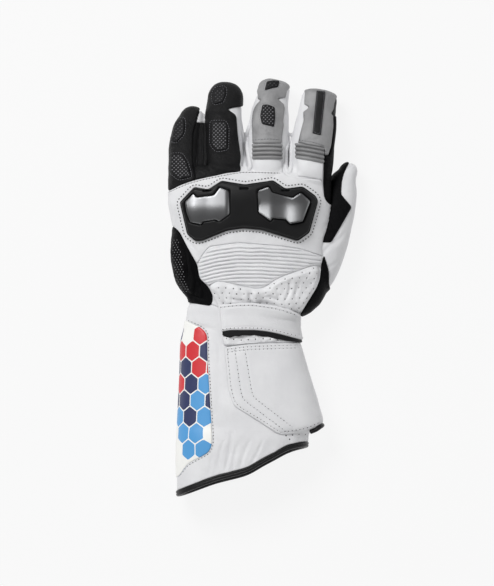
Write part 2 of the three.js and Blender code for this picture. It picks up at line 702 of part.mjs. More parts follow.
// A bound edge as a round tube along the lower edge of the flap
function flapPiping() {
  const places = [[33.6, -113], [38, -111.4], [42, -108.6], [44.4, -106.6]];
  const height = { 33.6: 41.6, 38: 37.6, 42: 31, 44.4: 24.4 };
  const points = places.map(([x, y]) => new THREE.Vector3(x, y, height[x]));
  const curve = new THREE.CatmullRomCurve3(points);
  const section = new THREE.Shape();
  section.absarc(0, 0, pipingRadius, 0, Math.PI * 2);
  const options = { steps: 6, curveSegments: 3, extrudePath: curve, bevelEnabled: false };
  const tube = solidFromGeometry(new THREE.ExtrudeGeometry(section, options));
  return tube.subtract(form('body', panelHigh + flapExtra + gap));
}

function printPanel() {
  return layer(['body'], outlines.print, panelLow, panelHigh - ribRoot);
}

function geometryOf(solid) {
  const mesh = solid.getMesh();
  const geometry = new THREE.BufferGeometry();
  geometry.setAttribute('position', new THREE.BufferAttribute(mesh.vertProperties, mesh.numProp));
  geometry.setIndex(new THREE.BufferAttribute(mesh.triVerts, 1));
  geometry.computeVertexNormals();
  return geometry;
}

function named(name, solid, finish) {
  const mesh = new THREE.Mesh(geometryOf(solid), new THREE.MeshStandardMaterial(finishes[finish]));
  mesh.name = name;
  return mesh;
}

const glove = new THREE.Group();
glove.add(
  named('hand_shell', handShell(), 'whiteLeather'),
  named('pinky_stall', fingerStall('pinky'), 'blackLeather'),
  named('ring_stall', fingerStall('ring'), 'whiteLeather'),
  named('middle_stall', fingerStall('middle'), 'whiteLeather'),
  named('index_stall', fingerStall('index'), 'whiteLeather'),
  named('thumb_stall', thumbStall(), 'whiteLeather'),
  named('gauntlet', gauntlet(), 'whiteLeather'),
  named('hem_binding', hemBinding(), 'blackBinding'),
  named('back_panel', backPanel(), 'whiteLeather'),
  named('back_rib_panel', ribPanel(), 'whiteLeather'),
  named('wrist_panel', wristPanel(), 'whiteLeather'),
  named('outer_side_panel', sidePanel(), 'blackLeather'),
  named('thumb_side_strip', radialStrip(), 'blackLeather'),
  named('index_side_strip', indexSide(), 'blackLeather'),
  named('thumb_web', thumbWeb(), 'blackLeather'),
  named('pinky_back', pinkyBack(), 'blackLeather'),
  named('ring_back', ringBack(), 'blackLeather'),
  named('finger_bridge', fingerBridge(), 'blackLeather'),
  named('middle_back', fingerBack('middle'), 'silverLeather'),
  named('index_back', fingerBack('index'), 'silverLeather'),
  named('middle_ribs', fingerRibPanel('middle', -8.8, 15.8, 110, 0), 'silverLeather'),
  named('index_ribs', fingerRibPanel('index', 24.6, 47.4, 109.6, 0.14), 'silverLeather'),
  named('middle_base', fingerBase('middle'), 'whiteLeather'),
  named('index_base', fingerBase('index'), 'whiteLeather'),
  named('index_patch', indexPatch(), 'blackMesh'),
  named('knuckle_guard', knuckleGuard(), 'guardPlastic'),
  named('guard_insert_left', guardInsert('insertLeft'), 'satinMetal'),
  named('guard_insert_right', guardInsert('insertRight'), 'satinMetal'),
  named('strap_tape', strapTape(), 'blackBinding'),
  named('wrist_strap', wristStrap(), 'whiteLeather'),
  named('cuff_flap', cuffFlap(), 'whiteLeather'),
  named('flap_piping', flapPiping(), 'blackBinding'),
  named('print_panel', printPanel(), 'printedLeather'),
);
for (const name of Object.keys(padOutlines)) {
  glove.add(named(name, pad(name), 'blackMesh'));
}

export default glove;
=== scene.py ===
import json
import math

import bpy
import numpy as np
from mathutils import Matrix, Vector
from mathutils.bvhtree import BVHTree

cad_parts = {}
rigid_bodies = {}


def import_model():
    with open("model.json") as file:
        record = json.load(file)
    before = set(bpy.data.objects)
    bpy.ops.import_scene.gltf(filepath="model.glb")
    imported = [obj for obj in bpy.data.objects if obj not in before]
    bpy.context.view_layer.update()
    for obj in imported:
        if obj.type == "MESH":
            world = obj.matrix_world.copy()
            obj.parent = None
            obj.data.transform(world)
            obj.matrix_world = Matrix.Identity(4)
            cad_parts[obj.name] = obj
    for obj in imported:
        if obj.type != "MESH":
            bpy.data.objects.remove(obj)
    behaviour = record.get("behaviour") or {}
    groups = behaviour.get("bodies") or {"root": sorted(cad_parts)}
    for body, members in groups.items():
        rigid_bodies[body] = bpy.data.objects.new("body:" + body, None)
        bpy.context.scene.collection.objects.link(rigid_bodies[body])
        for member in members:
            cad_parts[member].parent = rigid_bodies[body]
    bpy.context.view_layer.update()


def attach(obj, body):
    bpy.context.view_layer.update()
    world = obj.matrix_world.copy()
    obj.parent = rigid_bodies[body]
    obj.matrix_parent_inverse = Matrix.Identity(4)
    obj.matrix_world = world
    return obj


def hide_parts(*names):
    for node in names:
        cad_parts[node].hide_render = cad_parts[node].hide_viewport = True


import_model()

mm = 0.001  # the tables below are in millimetres, Blender works in metres

# Layers of leather over the bare hand, as heights in millimetres. A panel's border stands "lip" over its
# underside, which is tucked in by "sunk", and nothing comes lower than "ground".
layers = {"skinLow": 0.3, "skinHigh": 1.7, "trimLow": 2.0, "wall": 1.8, "cuffWall": 2.0, "seam": 0.12,
          "lip": 0.4, "sunk": 0.12, "ground": 0.05}

# Sections of hand and cuff, from the hem to the knuckles
bodyRows = {
    "y": [-172, -118, -112, -106.5, -90, -70, -43, -32, -24, -22, -19.5, -16, -11.5, 6, 26, 46, 66, 78, 88,
          93],
    "left": [-66, -65.3, -65, -64.7, -64, -62.8, -62, -59.6, -58.9, -58.6, -58.3, -57.8, -56, -65.2,
             -69.2, -68, -71, -71.2, -70.4, -68],
    "right": [27, 35, 35.8, 45.2, 41.3, 35, 27.4, 24.6, 25.4, 28.8, 34.4, 38.8, 43.4, 50, 49.8, 51.6,
              52, 51.6, 51.5, 49.5],
    "top": [45, 45, 44.5, 44, 43, 41.5, 39, 38, 37.6, 37.5, 37.7, 38, 38.5, 41, 43.2, 44.4, 45, 43.5, 40,
            36],
    "bottom": [-7, -7, -7, -7, -7, -7, -6, -6, -6, -6, -6, -6, -6, -6, -6, -4.2, -2, 3, 9, 14],
    "mid": [20, 20, 20, 20, 19.6, 19, 18, 17.5, 17.5, 17.5, 17.7, 18, 18, 19, 19.8, 21.2, 22.5, 23.5,
            24.5, 25],
}
bodyPower = 2.5
fingerPower = 2.3

# Sections along the middle line of each digit: x, y, z, half width, half thickness
digits = {
    "pinky": {"cap": 9.8, "blunt": 2.3, "rows": [
        (-58.2, 80, 25.2, 12, 12), (-58.8, 92, 24, 11.9, 12), (-58.8, 104, 21.5, 11.8, 11.6),
        (-57.0, 118, 16.6, 11.2, 10.8), (-53.3, 127, 12.6, 9.9, 10)]},
    "ring": {"cap": 13, "blunt": 2.3, "rows": [
        (-28.6, 80, 27.6, 14, 13.2), (-28.7, 93, 26.8, 14.5, 13.4), (-29.4, 108, 24, 13.9, 12.8),
        (-29.6, 128, 18.2, 13.6, 12), (-28.5, 143, 12.8, 12.4, 11)]},
    "middle": {"cap": 5.6, "blunt": 4, "rows": [
        (2.2, 80, 28.2, 15, 13.8), (2.8, 94, 27.2, 15.3, 13.9), (3.8, 108, 24.5, 15.4, 13.4),
        (5.2, 122, 20.5, 15.0, 12.8), (6.2, 136.3, 15.7, 13.9, 11.8), (8.1, 145.5, 12.2, 12.1, 11),
        (9.1, 150.2, 10.0, 11.5, 10.4)]},
    "index": {"cap": 7.8, "blunt": 4.5, "rows": [
        (35.4, 80, 25.6, 14.2, 12), (37, 92, 27.2, 15.3, 13.7), (37.8, 106, 24, 15.8, 13.2),
        (39.9, 122, 18.8, 15.5, 12.6), (41.6, 132, 15.2, 14.4, 11.6), (43.1, 141, 12, 13.8, 10.8)]},
    "thumb": {"cap": 9, "blunt": 2, "rows": [
        (26.4, -7, 17, 11.5, 13), (39, 14, 16, 18.6, 14.5), (48.3, 34, 17, 17.2, 15.5),
        (55.4, 52, 15.6, 14.4, 13.8), (60.2, 68, 14.2, 12, 12.4), (62.4, 79, 12.8, 10.3, 11.4),
        (65.8, 86.5, 11.4, 6.7, 10.2)]},
}
# Low leather that joins neighbouring fingers in their crotch
crotches = {
    "ringMiddle": [(-13.6, 82, 14, 4.4, 8), (-13.6, 92, 10, 4.2, 7), (-13.6, 104, 8, 4.0, 6),
                   (-13.4, 116, 6, 3.4, 4)],
    "middleIndex": [(20.2, 82, 14, 4.4, 8), (20.3, 92, 10, 4.0, 7), (20.5, 102, 8, 3.8, 6),
                    (20.7, 108.6, 6, 3.0, 4)],
}

# Seams that two panels share, as [x, y] seen from above
seams = {
    "knuckle": [(-84, 71), (-72, 74), (-63, 78.4), (-52, 82.2), (-40, 85), (-28, 87.3), (-17, 89.2)],
    "ulnar": [(-84, 50), (-70, 47), (-64.3, 42.4), (-57.4, 29.3), (-50.4, 17), (-48.5, 6.2),
              (-41.4, -0.4), (-38.1, -7.7), (-39.7, -14.8)],
    "ribTop": [(-50.4, 17), (-46, 25), (-41, 31), (-18, 33.8), (12, 31.6), (30, 29), (46.6, 23.5)],
    "ribBottom": [(-48.5, 6.2), (-41.7, 0.5), (-35.2, 4.6), (-24.6, 2.9), (-18.1, 1.3), (-6.8, -1.1),
                  (-0.4, -1.1), (5.4, 2.2), (9.4, 5.2), (14.3, 7.8), (25.6, 11.9), (38.6, 16.4), (45.5, 16)],
    "radial": [(45.5, 16), (44.6, 6), (41.8, -1), (37.4, -8), (33.2, -15), (29, -22)],
    "flapEdge": [(-29.5, -46), (-27.6, -66), (-26.4, -79), (-22.4, -91.3), (-4, -102.4), (12, -113)],
}
hem = {
    "curve": [(-76, -158.7), (-64.8, -155), (-50.7, -150), (-35.4, -144.5), (-21.2, -141),
              (-11.9, -138.4), (0, -131.4), (8.2, -127.2), (21.2, -120.4), (35, -117.8), (60, -116.5)],
    "slope": 0.06, "top": 45,
    "wrist": [(-90, -11.4), (-60, -11.4), (-40, -13), (-28, -18), (0, -22), (60, -24)],
}


# Smooth curve through a column of a table, with no overshoot
def smoothColumn(places, values, wanted):
    places = np.asarray(places, float)
    values = np.asarray(values, float)
    gaps = np.diff(places)
    slopes = np.diff(values) / gaps
    tangents = np.zeros(len(values))
    same = slopes[:-1] * slopes[1:] > 0
    first = 2 * gaps[1:] + gaps[:-1]
    second = gaps[1:] + 2 * gaps[:-1]
    safeLeft = np.where(same, slopes[:-1], 1)
    safeRight = np.where(same, slopes[1:], 1)
    mean = (first + second) / (first / safeLeft + second / safeRight)
    tangents[1:-1] = np.where(same, mean, 0)
    tangents[0] = slopes[0]
    tangents[-1] = slopes[-1]
    wanted = np.clip(wanted, places[0], places[-1])
    spot = np.clip(np.searchsorted(places, wanted) - 1, 0, len(gaps) - 1)
    gap = gaps[spot]
    t = (wanted - places[spot]) / gap
    start = values[spot] * (2 * t**3 - 3 * t**2 + 1) + values[spot + 1] * (3 * t**2 - 2 * t**3)
    bend = tangents[spot] * (t**3 - 2 * t**2 + t) + tangents[spot + 1] * (t**3 - t**2)
    return start + bend * gap


def softStep(low, high, value):
    t = np.clip((value - low) / (high - low), 0, 1)
    return t * t * (3 - 2 * t)


# Smooth random lumps of a given size, between about -1 and 1
lattice = {"cells": 32, "offset": 100}


def softNoise(points, size, seed, stretch=(1, 1, 1)):
    cells = lattice["cells"]
    values = np.random.default_rng(seed).uniform(-1, 1, (cells, cells, cells))
    cell = points[:, :3] / (size * np.asarray(stretch)) + lattice["offset"]
    low = np.floor(cell).astype(int)
    t = cell - low
    t = t * t * (3 - 2 * t)
    total = np.zeros(len(points))
    for dx in (0, 1):
        for dy in (0, 1):
            for dz in (0, 1):
                weight = ((t[:, 0] if dx else 1 - t[:, 0]) * (t[:, 1] if dy else 1 - t[:, 1])
                          * (t[:, 2] if dz else 1 - t[:, 2]))
                total += weight * values[(low[:, 0] + dx) % cells, (low[:, 1] + dy) % cells,
                                         (low[:, 2] + dz) % cells]
    return total


# Lumps of several sizes on each other, each row as height, size, seed and perhaps stretch
def lumpy(points, rows):
    return sum(height * softNoise(points, *row) for height, *row in rows)


# A crease is a narrow valley from start to end, with a low swell on both sides of it
creaseForm = {"start": (-0.15, 0.3), "end": (0.7, 1.15), "swell": 0.45, "swellWidth": 2.2}


def creased(points, creases):
    total = np.zeros(len(points))
    for startX, startY, endX, endY, width, depth, bow in creases:
        along = np.array([endX - startX, endY - startY])
        length = np.hypot(*along)
        along = along / length
        offset = points[:, :2] - np.array([startX, startY])
        run = offset @ along / length
        side = offset @ np.array([-along[1], along[0]]) - bow * 4 * run * (1 - run)
        fade = softStep(*creaseForm["start"], run) * (1 - softStep(*creaseForm["end"], run))
        swell = np.exp(-(side / (creaseForm["swellWidth"] * width)) ** 2)
        total -= depth * fade * (np.exp(-(side / width) ** 2) - creaseForm["swell"] * swell)
    return total


# Outlines: corners cut round, moved outwards or inwards, and cut into even steps
cornerSteps = 4
cornerShare = 0.45  # of a side, the most that a rounded corner takes


def rounded(outline, radius, closed=True):
    outline = [np.array(point, float) for point in outline]
    count = len(outline)
    result = []
    for place, point in enumerate(outline):
        if not closed and place in (0, count - 1):
            result.append(point)
            continue
        before = outline[place - 1] - point
        after = outline[(place + 1) % count] - point
        first = point + before * min(radius / np.hypot(*before), cornerShare)
        last = point + after * min(radius / np.hypot(*after), cornerShare)
        for step in range(cornerSteps + 1):
            t = step / cornerSteps
            result.append((1 - t) ** 2 * first + 2 * t * (1 - t) * point + t * t * last)
    return np.array(result)


def area(outline):
    x, y = outline[:, 0], outline[:, 1]
    return 0.5 * np.sum(x * np.roll(y, -1) - y * np.roll(x, -1))


def grown(outline, distance):
    ahead = np.roll(outline, -1, axis=0) - outline
    behind = outline - np.roll(outline, 1, axis=0)
    ahead = ahead / np.maximum(np.hypot(*ahead.T), 1e-9)[:, None]
    behind = behind / np.maximum(np.hypot(*behind.T), 1e-9)[:, None]
    heading = ahead + behind
    heading = heading / np.maximum(np.hypot(*heading.T), 1e-9)[:, None]
    side = np.sign(area(outline))
    normal = np.stack([heading[:, 1], -heading[:, 0]], axis=1) * side
    stretch = np.maximum(np.sum(heading * ahead, axis=1), 0.5)
    return outline + normal * (distance / stretch)[:, None]


def sampled(rows, reach, wanted):
    return np.stack([np.interp(wanted, reach, rows[:, column]) for column in range(rows.shape[1])], axis=1)


def evenSteps(route, pitch, closed):
    if closed:
        route = np.vstack([route, route[:1]])
    lengths = np.hypot(*np.diff(route, axis=0)[:, :2].T)
    reach = np.concatenate([[0], np.cumsum(lengths)])
    count = max(int(round(reach[-1] / pitch)), 2)
    wanted = np.linspace(0, reach[-1], count + 1)
    if closed:
        wanted = wanted[:-1]
    return sampled(route, reach, wanted)


# Signed distance from points to an outline, positive inside
def insideDistance(points, outline):
    nearest = np.full(len(points), np.inf)
    crossings = np.zeros(len(points), int)
    x, y = points[:, 0], points[:, 1]
    for start, end in zip(outline, np.roll(outline, -1, axis=0)):
        span = end - start
        square = max(span @ span, 1e-12)
        t = np.clip(((x - start[0]) * span[0] + (y - start[1]) * span[1]) / square, 0, 1)
        away = np.hypot(x - start[0] - t * span[0], y - start[1] - t * span[1])
        nearest = np.minimum(nearest, away)
        if start[1] != end[1]:
            spans = (start[1] > y) != (end[1] > y)
            meet = start[0] + (y - start[1]) * span[0] / (end[1] - start[1])
            crossings += spans & (x < meet)
    return np.where(crossings % 2 == 1, nearest, -nearest)


# Distance from points to an open route
def routeDistance(points, route):
    nearest = np.full(len(points), np.inf)
    for start, end in zip(route[:-1], route[1:]):
        span = end - start
        square = max(span @ span, 1e-12)
        offset = points[:, :2] - start
        t = np.clip(offset @ span / square, 0, 1)
        nearest = np.minimum(nearest, np.hypot(*(offset - t[:, None] * span).T))
    return nearest


# A skin is a table of points, one row each: place, normal, then how near each form is.
# It is cut exactly along the line where a value passes through zero.
onLine = {"nudge": 1e-7, "kept": 1e-6}  # values this near to zero count as just above it, or as on it


def cutAlong(table, faces, values):
    values = np.where(np.abs(values) < onLine["nudge"], onLine["nudge"], values)
    signs = values[faces] > 0
    count = signs.sum(axis=1)
    mixed = (count == 1) | (count == 2)
    kept = faces[~mixed]
    cut = faces[mixed]
    if len(cut) == 0:
        return table, faces, values
    alone = np.where((count[mixed] == 1)[:, None], signs[mixed], ~signs[mixed])
    turn = alone.argmax(axis=1)
    rows = np.arange(len(cut))
    a, b, c = (cut[rows, (turn + step) % 3] for step in range(3))
    pairs = np.sort(np.concatenate([np.stack([a, b], 1), np.stack([a, c], 1)]), axis=1)
    unique, place = np.unique(pairs, axis=0, return_inverse=True)
    place = place.reshape(-1)
    low, high = unique[:, 0], unique[:, 1]
    share = values[low] / (values[low] - values[high])
    fresh = table[low] + share[:, None] * (table[high] - table[low])
    p = len(table) + place[:len(cut)]
    q = len(table) + place[len(cut):]
    faces = np.concatenate([kept, np.stack([a, p, q], 1), np.stack([p, b, c], 1), np.stack([p, c, q], 1)])
    return np.vstack([table, fresh]), faces, np.concatenate([values, np.zeros(len(fresh))])


def compacted(table, faces, *more):
    used = np.unique(faces)
    renumber = np.zeros(len(table), int)
    renumber[used] = np.arange(len(used))
    return (table[used], renumber[faces]) + tuple(column[used] for column in more)


def keepInside(table, faces, values):
    table, faces, values = cutAlong(table, faces, values)
    inner = (values[faces] > -onLine["kept"]).all(axis=1) & (values[faces].max(axis=1) > onLine["kept"])
    return compacted(table, faces[inner], values)


def directedEdges(faces):
    return np.concatenate([faces[:, [0, 1]], faces[:, [1, 2]], faces[:, [2, 0]]])


# Every triangle in four, then smoothed so that the old edges don't show
smoothing = {"afterSplit": 2, "in": 0.5, "out": -0.52}  # in and out again, so that nothing shrinks


def refined(table, faces):
    edges = np.sort(directedEdges(faces), axis=1)
    unique, place = np.unique(edges, axis=0, return_inverse=True)
    place = place.reshape(-1) + len(table)
    count = len(faces)
    ab, bc, ca = place[:count], place[count:2 * count], place[2 * count:]
    table = np.vstack([table, (table[unique[:, 0]] + table[unique[:, 1]]) / 2])
    a, b, c = faces.T
    quarters = (a, ab, ca), (ab, b, bc), (ca, bc, c), (ab, bc, ca)
    faces = np.concatenate([np.stack(corners, 1) for corners in quarters])
    return relaxed(table, faces, smoothing["afterSplit"]), faces


def relaxed(table, faces, times):
    edges = np.unique(np.sort(directedEdges(faces), axis=1), axis=0)
    degree = np.bincount(edges.reshape(-1), minlength=len(table))[:, None]
    table = table.copy()
    for step in range(times):
        for share in (smoothing["in"], smoothing["out"]):
            total = np.zeros((len(table), 6))
            for column in range(6):
                total[:, column] = (np.bincount(edges[:, 0], table[edges[:, 1], column], len(table))
                                    + np.bincount(edges[:, 1], table[edges[:, 0], column], len(table)))
            table[:, :6] += share * (total / degree - table[:, :6])
    return table


def faceNormals(points, faces):
    corners = points[faces]
    return np.cross(corners[:, 1] - corners[:, 0], corners[:, 2] - corners[:, 0])


def pointNormals(points, faces):
    flat = faceNormals(points, faces)
    normals = np.zeros_like(points)
    for corner in range(3):
        for column in range(3):
            normals[:, column] += np.bincount(faces[:, corner], flat[:, column], len(points))
    return normals / np.maximum(np.linalg.norm(normals, axis=1), 1e-12)[:, None]


def borderOf(faces, count):
    directed = directedEdges(faces)
    keys = directed[:, 0] * count + directed[:, 1]
    back = directed[:, 1] * count + directed[:, 0]
    return directed[~np.isin(keys, back)]


# Triangles of a grid of points, row after row
def gridFaces(rows, columns):
    index = np.arange(rows * columns).reshape(rows, columns)
    a, b = index[:-1, :-1].reshape(-1), index[:-1, 1:].reshape(-1)
    c, d = index[1:, 1:].reshape(-1), index[1:, :-1].reshape(-1)
    return np.concatenate([np.stack([a, b, c], 1), np.stack([a, c, d], 1)])


# Joins an outer and an inner side of the same skin along its border into one closed wall.
# The inner side isn't seen, so away from the border its points are gathered into cells.
cellRange = 2000  # more cells than the glove is long


def closedWall(faces, outer, inner, cell=4.0):
    count = len(outer)
    a, b = borderOf(faces, count).T
    onBorder = np.zeros(count, bool)
    onBorder[a] = True
    onBorder[b] = True
    keys = np.floor(inner / cell).astype(np.int64) + cellRange // 2
    keys = keys[:, 0] * cellRange**2 + keys[:, 1] * cellRange + keys[:, 2]
    keys = np.where(onBorder, -1 - np.arange(count), keys)
    _, place = np.unique(keys, return_inverse=True)
    place = place.reshape(-1)
    size = np.bincount(place)
    gathered = np.stack([np.bincount(place, inner[:, column]) / size for column in range(3)], axis=1)
    under = place[faces[:, ::-1]]
    proper = (under[:, 0] != under[:, 1]) & (under[:, 1] != under[:, 2]) & (under[:, 2] != under[:, 0])
    walls = np.concatenate([np.stack([b, a, place[a] + count], 1),
                            np.stack([b, place[a] + count, place[b] + count], 1)])
    return np.vstack([outer, gathered]), np.concatenate([faces, under[proper] + count, walls])


def newObject(name, points, faces, finish):
    mesh = bpy.data.meshes.new(name)
    faces = faces.tolist() if isinstance(faces, np.ndarray) else faces
    mesh.from_pydata((np.asarray(points) * mm).tolist(), [], faces)
    mesh.polygons.foreach_set("use_smooth", np.ones(len(mesh.polygons), bool))
    piece = bpy.data.objects.new(name, mesh)
    bpy.context.collection.objects.link(piece)
    piece.data.materials.append(finishes[finish])
    return piece


def selectOnly(*pieces):
    bpy.ops.object.select_all(action="DESELECT")
    for piece in pieces:
        piece.select_set(True)
    bpy.context.view_layer.objects.active = pieces[0]


def settle(piece, slot, *nodes):
    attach(piece, "root")
    if nodes:
        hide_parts(*nodes)
    return piece


# Materials. Effects that several of them use are node groups that put out heights and colours.
def newGroup(name, *inputs):
    group = bpy.data.node_groups.new(name, "ShaderNodeTree")
    for title in inputs:
        group.interface.new_socket(title, in_out="INPUT", socket_type="NodeSocketFloat")
    for title in ("Height", "Shade"):
        group.interface.new_socket(title, in_out="OUTPUT", socket_type="NodeSocketFloat")
    return group, group.nodes.new("NodeGroupInput"), group.nodes.new("NodeGroupOutput")


def addNode(tree, kind, inputs=None, **settings):
    node = tree.nodes.new(kind)
    for title, value in settings.items():
        setattr(node, title, value)
    for title, value in (inputs or {}).items():
        if isinstance(value, bpy.types.NodeSocket):
            tree.links.new(value, node.inputs[title])
        else:
            node.inputs[title].default_value = value
    return node


def addMath(tree, operation, *values):
    return addNode(tree, "ShaderNodeMath", dict(enumerate(values)), operation=operation).outputs[0]


def addNoise(tree, place, scale, detail, **more):
    inputs = {"Vector": place, "Scale": scale, "Detail": detail, **more}
    return addNode(tree, "ShaderNodeTexNoise", inputs).outputs


def addMix(tree, share, first, second):
    node = addNode(tree, "ShaderNodeMix", {"Factor": share}, data_type="RGBA")
    for socket, value in ((node.inputs[6], first), (node.inputs[7], second)):
        if isinstance(value, bpy.types.NodeSocket):
            tree.links.new(value, socket)
        else:
            socket.default_value = value
    return node.outputs[2]


# Pebbled grain, fine creases and a slow change of shade. The sizes are in cells to the metre, and a
# pebble and a crease are flat above their height.
grainForm = {"warp": 420.0, "bend": 0.0011, "pebbles": 1400.0, "pebbleHeight": 0.16, "creases": 260.0,
             "creaseHeight": 0.07, "folds": 190.0, "shade": 55.0}
weaveForm = {"threads": 1500.0, "fuzz": 900.0}


def leatherGrainGroup():
    group, given, out = newGroup("leatherGrain", "Crease", "Wrinkle")
    place = addNode(group, "ShaderNodeTexCoord").outputs["Object"]
    warp = addNoise(group, place, grainForm["warp"], 2.0)["Color"]
    bent = addNode(group, "ShaderNodeVectorMath", {0: warp, 1: (grainForm["bend"],) * 3},
                   operation="MULTIPLY")
    moved = addNode(group, "ShaderNodeVectorMath", {0: place, 1: bent.outputs[0]}, operation="ADD")
    flats = []
    for cells in ("pebble", "crease"):
        pattern = addNode(group, "ShaderNodeTexVoronoi",
                          {"Vector": moved.outputs[0], "Scale": grainForm[cells + "s"]},
                          feature="DISTANCE_TO_EDGE")
        flats.append(addMath(group, "MINIMUM", pattern.outputs["Distance"], grainForm[cells + "Height"]))
    crease = addMath(group, "MULTIPLY", flats[1], given.outputs["Crease"])
    folds = addNoise(group, place, grainForm["folds"], 4.0, Roughness=0.6, Distortion=0.5)["Fac"]
    height = addMath(group, "ADD", addMath(group, "ADD", flats[0], crease),
                     addMath(group, "MULTIPLY", folds, given.outputs["Wrinkle"]))
    group.links.new(height, out.inputs["Height"])
    group.links.new(addNoise(group, place, grainForm["shade"], 3.0)["Fac"], out.inputs["Shade"])
    return group


# Crossed threads of a tight fabric
def weaveGroup():
    group, _, out = newGroup("weave")
    place = addNode(group, "ShaderNodeTexCoord").outputs["Object"]
    split = addNode(group, "ShaderNodeSeparateXYZ", {0: place})
    waves = []
    for axis in ("X", "Y"):
        turn = addMath(group, "MULTIPLY", split.outputs[axis], weaveForm["threads"])
        waves.append(addMath(group, "SINE", addMath(group, "MULTIPLY", turn, 2 * math.pi)))
    fuzz = addNoise(group, place, weaveForm["fuzz"], 2.0)["Fac"]
    height = addMath(group, "ADD", addMath(group, "MULTIPLY", *waves), fuzz)
    group.links.new(height, out.inputs["Height"])
    group.links.new(fuzz, out.inputs["Shade"])
    return group


grainGroup = leatherGrainGroup()
fabricGroup = weaveGroup()


def newMaterial(name, shine):
    material = bpy.data.materials.new(name)
    material.use_nodes = True
    tree = material.node_tree
    shader = tree.nodes["Principled BSDF"]
    shader.inputs["Specular IOR Level"].default_value = shine
    return material, tree, shader


# Roughness from low to high as a value goes over its range
def varyRoughness(tree, shader, value, low, high, start=0.3, end=0.7):
    spread = addNode(tree, "ShaderNodeMapRange",
                     {"Value": value, "From Min": start, "From Max": end, "To Min": low, "To Max": high})
    tree.links.new(spread.outputs["Result"], shader.inputs["Roughness"])


def addBump(tree, shader, height, strength, distance=0.0002):
    lift = addNode(tree, "ShaderNodeBump", {"Height": height, "Strength": strength, "Distance": distance})
    tree.links.new(lift.outputs["Normal"], shader.inputs["Normal"])


def leather(name, colour, dark, rough, metallic=0.0, bump=0.35, crease=0.6, wrinkle=1.0, shine=0.5,
            attribute=None):
    material, tree, shader = newMaterial(name, shine)
    grain = addNode(tree, "ShaderNodeGroup", node_tree=grainGroup)
    grain.inputs["Crease"].default_value = crease
    grain.inputs["Wrinkle"].default_value = wrinkle
    ramp = addNode(tree, "ShaderNodeMapRange",
                   {"Value": grain.outputs["Shade"], "From Min": 0.35, "From Max": 0.65})
    base = addMix(tree, ramp.outputs["Result"], dark, colour)
    if attribute:
        painted = addNode(tree, "ShaderNodeAttribute", attribute_name=attribute)
        base = addMix(tree, 1.0, base, painted.outputs["Color"])
    tree.links.new(base, shader.inputs["Base Color"])
    varyRoughness(tree, shader, grain.outputs["Shade"], rough - 0.06, rough + 0.06)
    shader.inputs["Metallic"].default_value = metallic
    addBump(tree, shader, grain.outputs["Height"], bump, 0.0009)
    return material


# Pits are painted from the attribute that their shape was made from
def pitted(name, colour, pit, rough):
    material, tree, shader = newMaterial(name, 0.18)
    grain = addNode(tree, "ShaderNodeGroup", node_tree=fabricGroup)
    mask = addNode(tree, "ShaderNodeAttribute", attribute_name="pit")
    tree.links.new(addMix(tree, mask.outputs["Fac"], colour, pit), shader.inputs["Base Color"])
    shader.inputs["Roughness"].default_value = rough
    addBump(tree, shader, grain.outputs["Height"], 0.2)
    return material


def plastic(name, colour, rough):
    material, tree, shader = newMaterial(name, 0.22)
    place = addNode(tree, "ShaderNodeTexCoord").outputs["Object"]
    varyRoughness(tree, shader, addNoise(tree, place, 60.0, 2.0)["Fac"], rough - 0.05, rough + 0.05)
    shader.inputs["Base Color"].default_value = colour
    addBump(tree, shader, addNoise(tree, place, 2600.0, 3.0)["Fac"], 0.12)
    return material


def satinMetal(name, colour, rough):
    material, tree, shader = newMaterial(name, 0.5)
    place = addNode(tree, "ShaderNodeTexCoord").outputs["Object"]
    lines = addNoise(tree, place, 900.0, 3.0)["Fac"]
    varyRoughness(tree, shader, lines, rough - 0.04, rough + 0.06, 0.0, 1.0)
    shader.inputs["Base Color"].default_value = colour
    shader.inputs["Metallic"].default_value = 1.0
    return material


finishes = {
    "white": leather("whiteLeather", (0.75, 0.752, 0.765, 1), (0.70, 0.702, 0.718, 1), 0.46),
    "black": leather("blackLeather", (0.0095, 0.0095, 0.010, 1), (0.006, 0.006, 0.0065, 1), 0.44, bump=0.6,
                     wrinkle=1.4, shine=0.13),
    # painted shade: a darker, less shiny copy of the black leather for the panels that face sideways
    "side": leather("shadedSideBlackLeather", (0.0035, 0.0035, 0.004, 1), (0.002, 0.002, 0.0025, 1), 0.5, bump=0.6,
                    wrinkle=1.4, shine=0.06),
    "palm": leather("palmLeather", (0.010, 0.010, 0.011, 1), (0.006, 0.006, 0.007, 1), 0.66, bump=0.5,
                    shine=0.2),
    "silver": leather("silverLeather", (0.312, 0.312, 0.316, 1), (0.228, 0.228, 0.232, 1), 0.48,
                      metallic=0.18, bump=0.4, crease=1.2, wrinkle=1.3),
    "print": leather("printedLeather", (0.8, 0.8, 0.8, 1), (0.7, 0.7, 0.7, 1), 0.42, attribute="print",
                     bump=0.15),
    "binding": leather("bindingLeather", (0.006, 0.006, 0.0065, 1), (0.004, 0.004, 0.0045, 1), 0.36,
                       shine=0.3),
    "pad": pitted("perforatedPad", (0.006, 0.006, 0.007, 1), (0.22, 0.22, 0.23, 1), 0.55),
    "fleck": plastic("meshFleck", (0.30, 0.30, 0.31, 1), 0.7),
    "plastic": plastic("guardPlastic", (0.0065, 0.0065, 0.007, 1), 0.44),
    "metal": satinMetal("satinMetal", (0.165, 0.167, 0.171, 1), 0.32),
    # painted shade: black for the insides of needle holes and perforations
    "hole": plastic("paintedHoleShade", (0.006, 0.006, 0.006, 1), 0.9),
    "whiteThread": plastic("whiteThread", (0.62, 0.62, 0.64, 1), 0.7),
    "greyThread": plastic("greyThread", (0.22, 0.22, 0.24, 1), 0.7),
    "blackThread": plastic("blackThread", (0.02, 0.02, 0.022, 1), 0.7),
}
slotOf = {"white": "white_leather", "black": "black_leather", "side": "black_leather",
          "palm": "black_leather", "silver": "silver_leather", "print": "printed_leather",
          "pad": "black_mesh", "binding": "black_binding", "plastic": "guard_plastic",
          "metal": "satin_metal"}
print("materials ready")


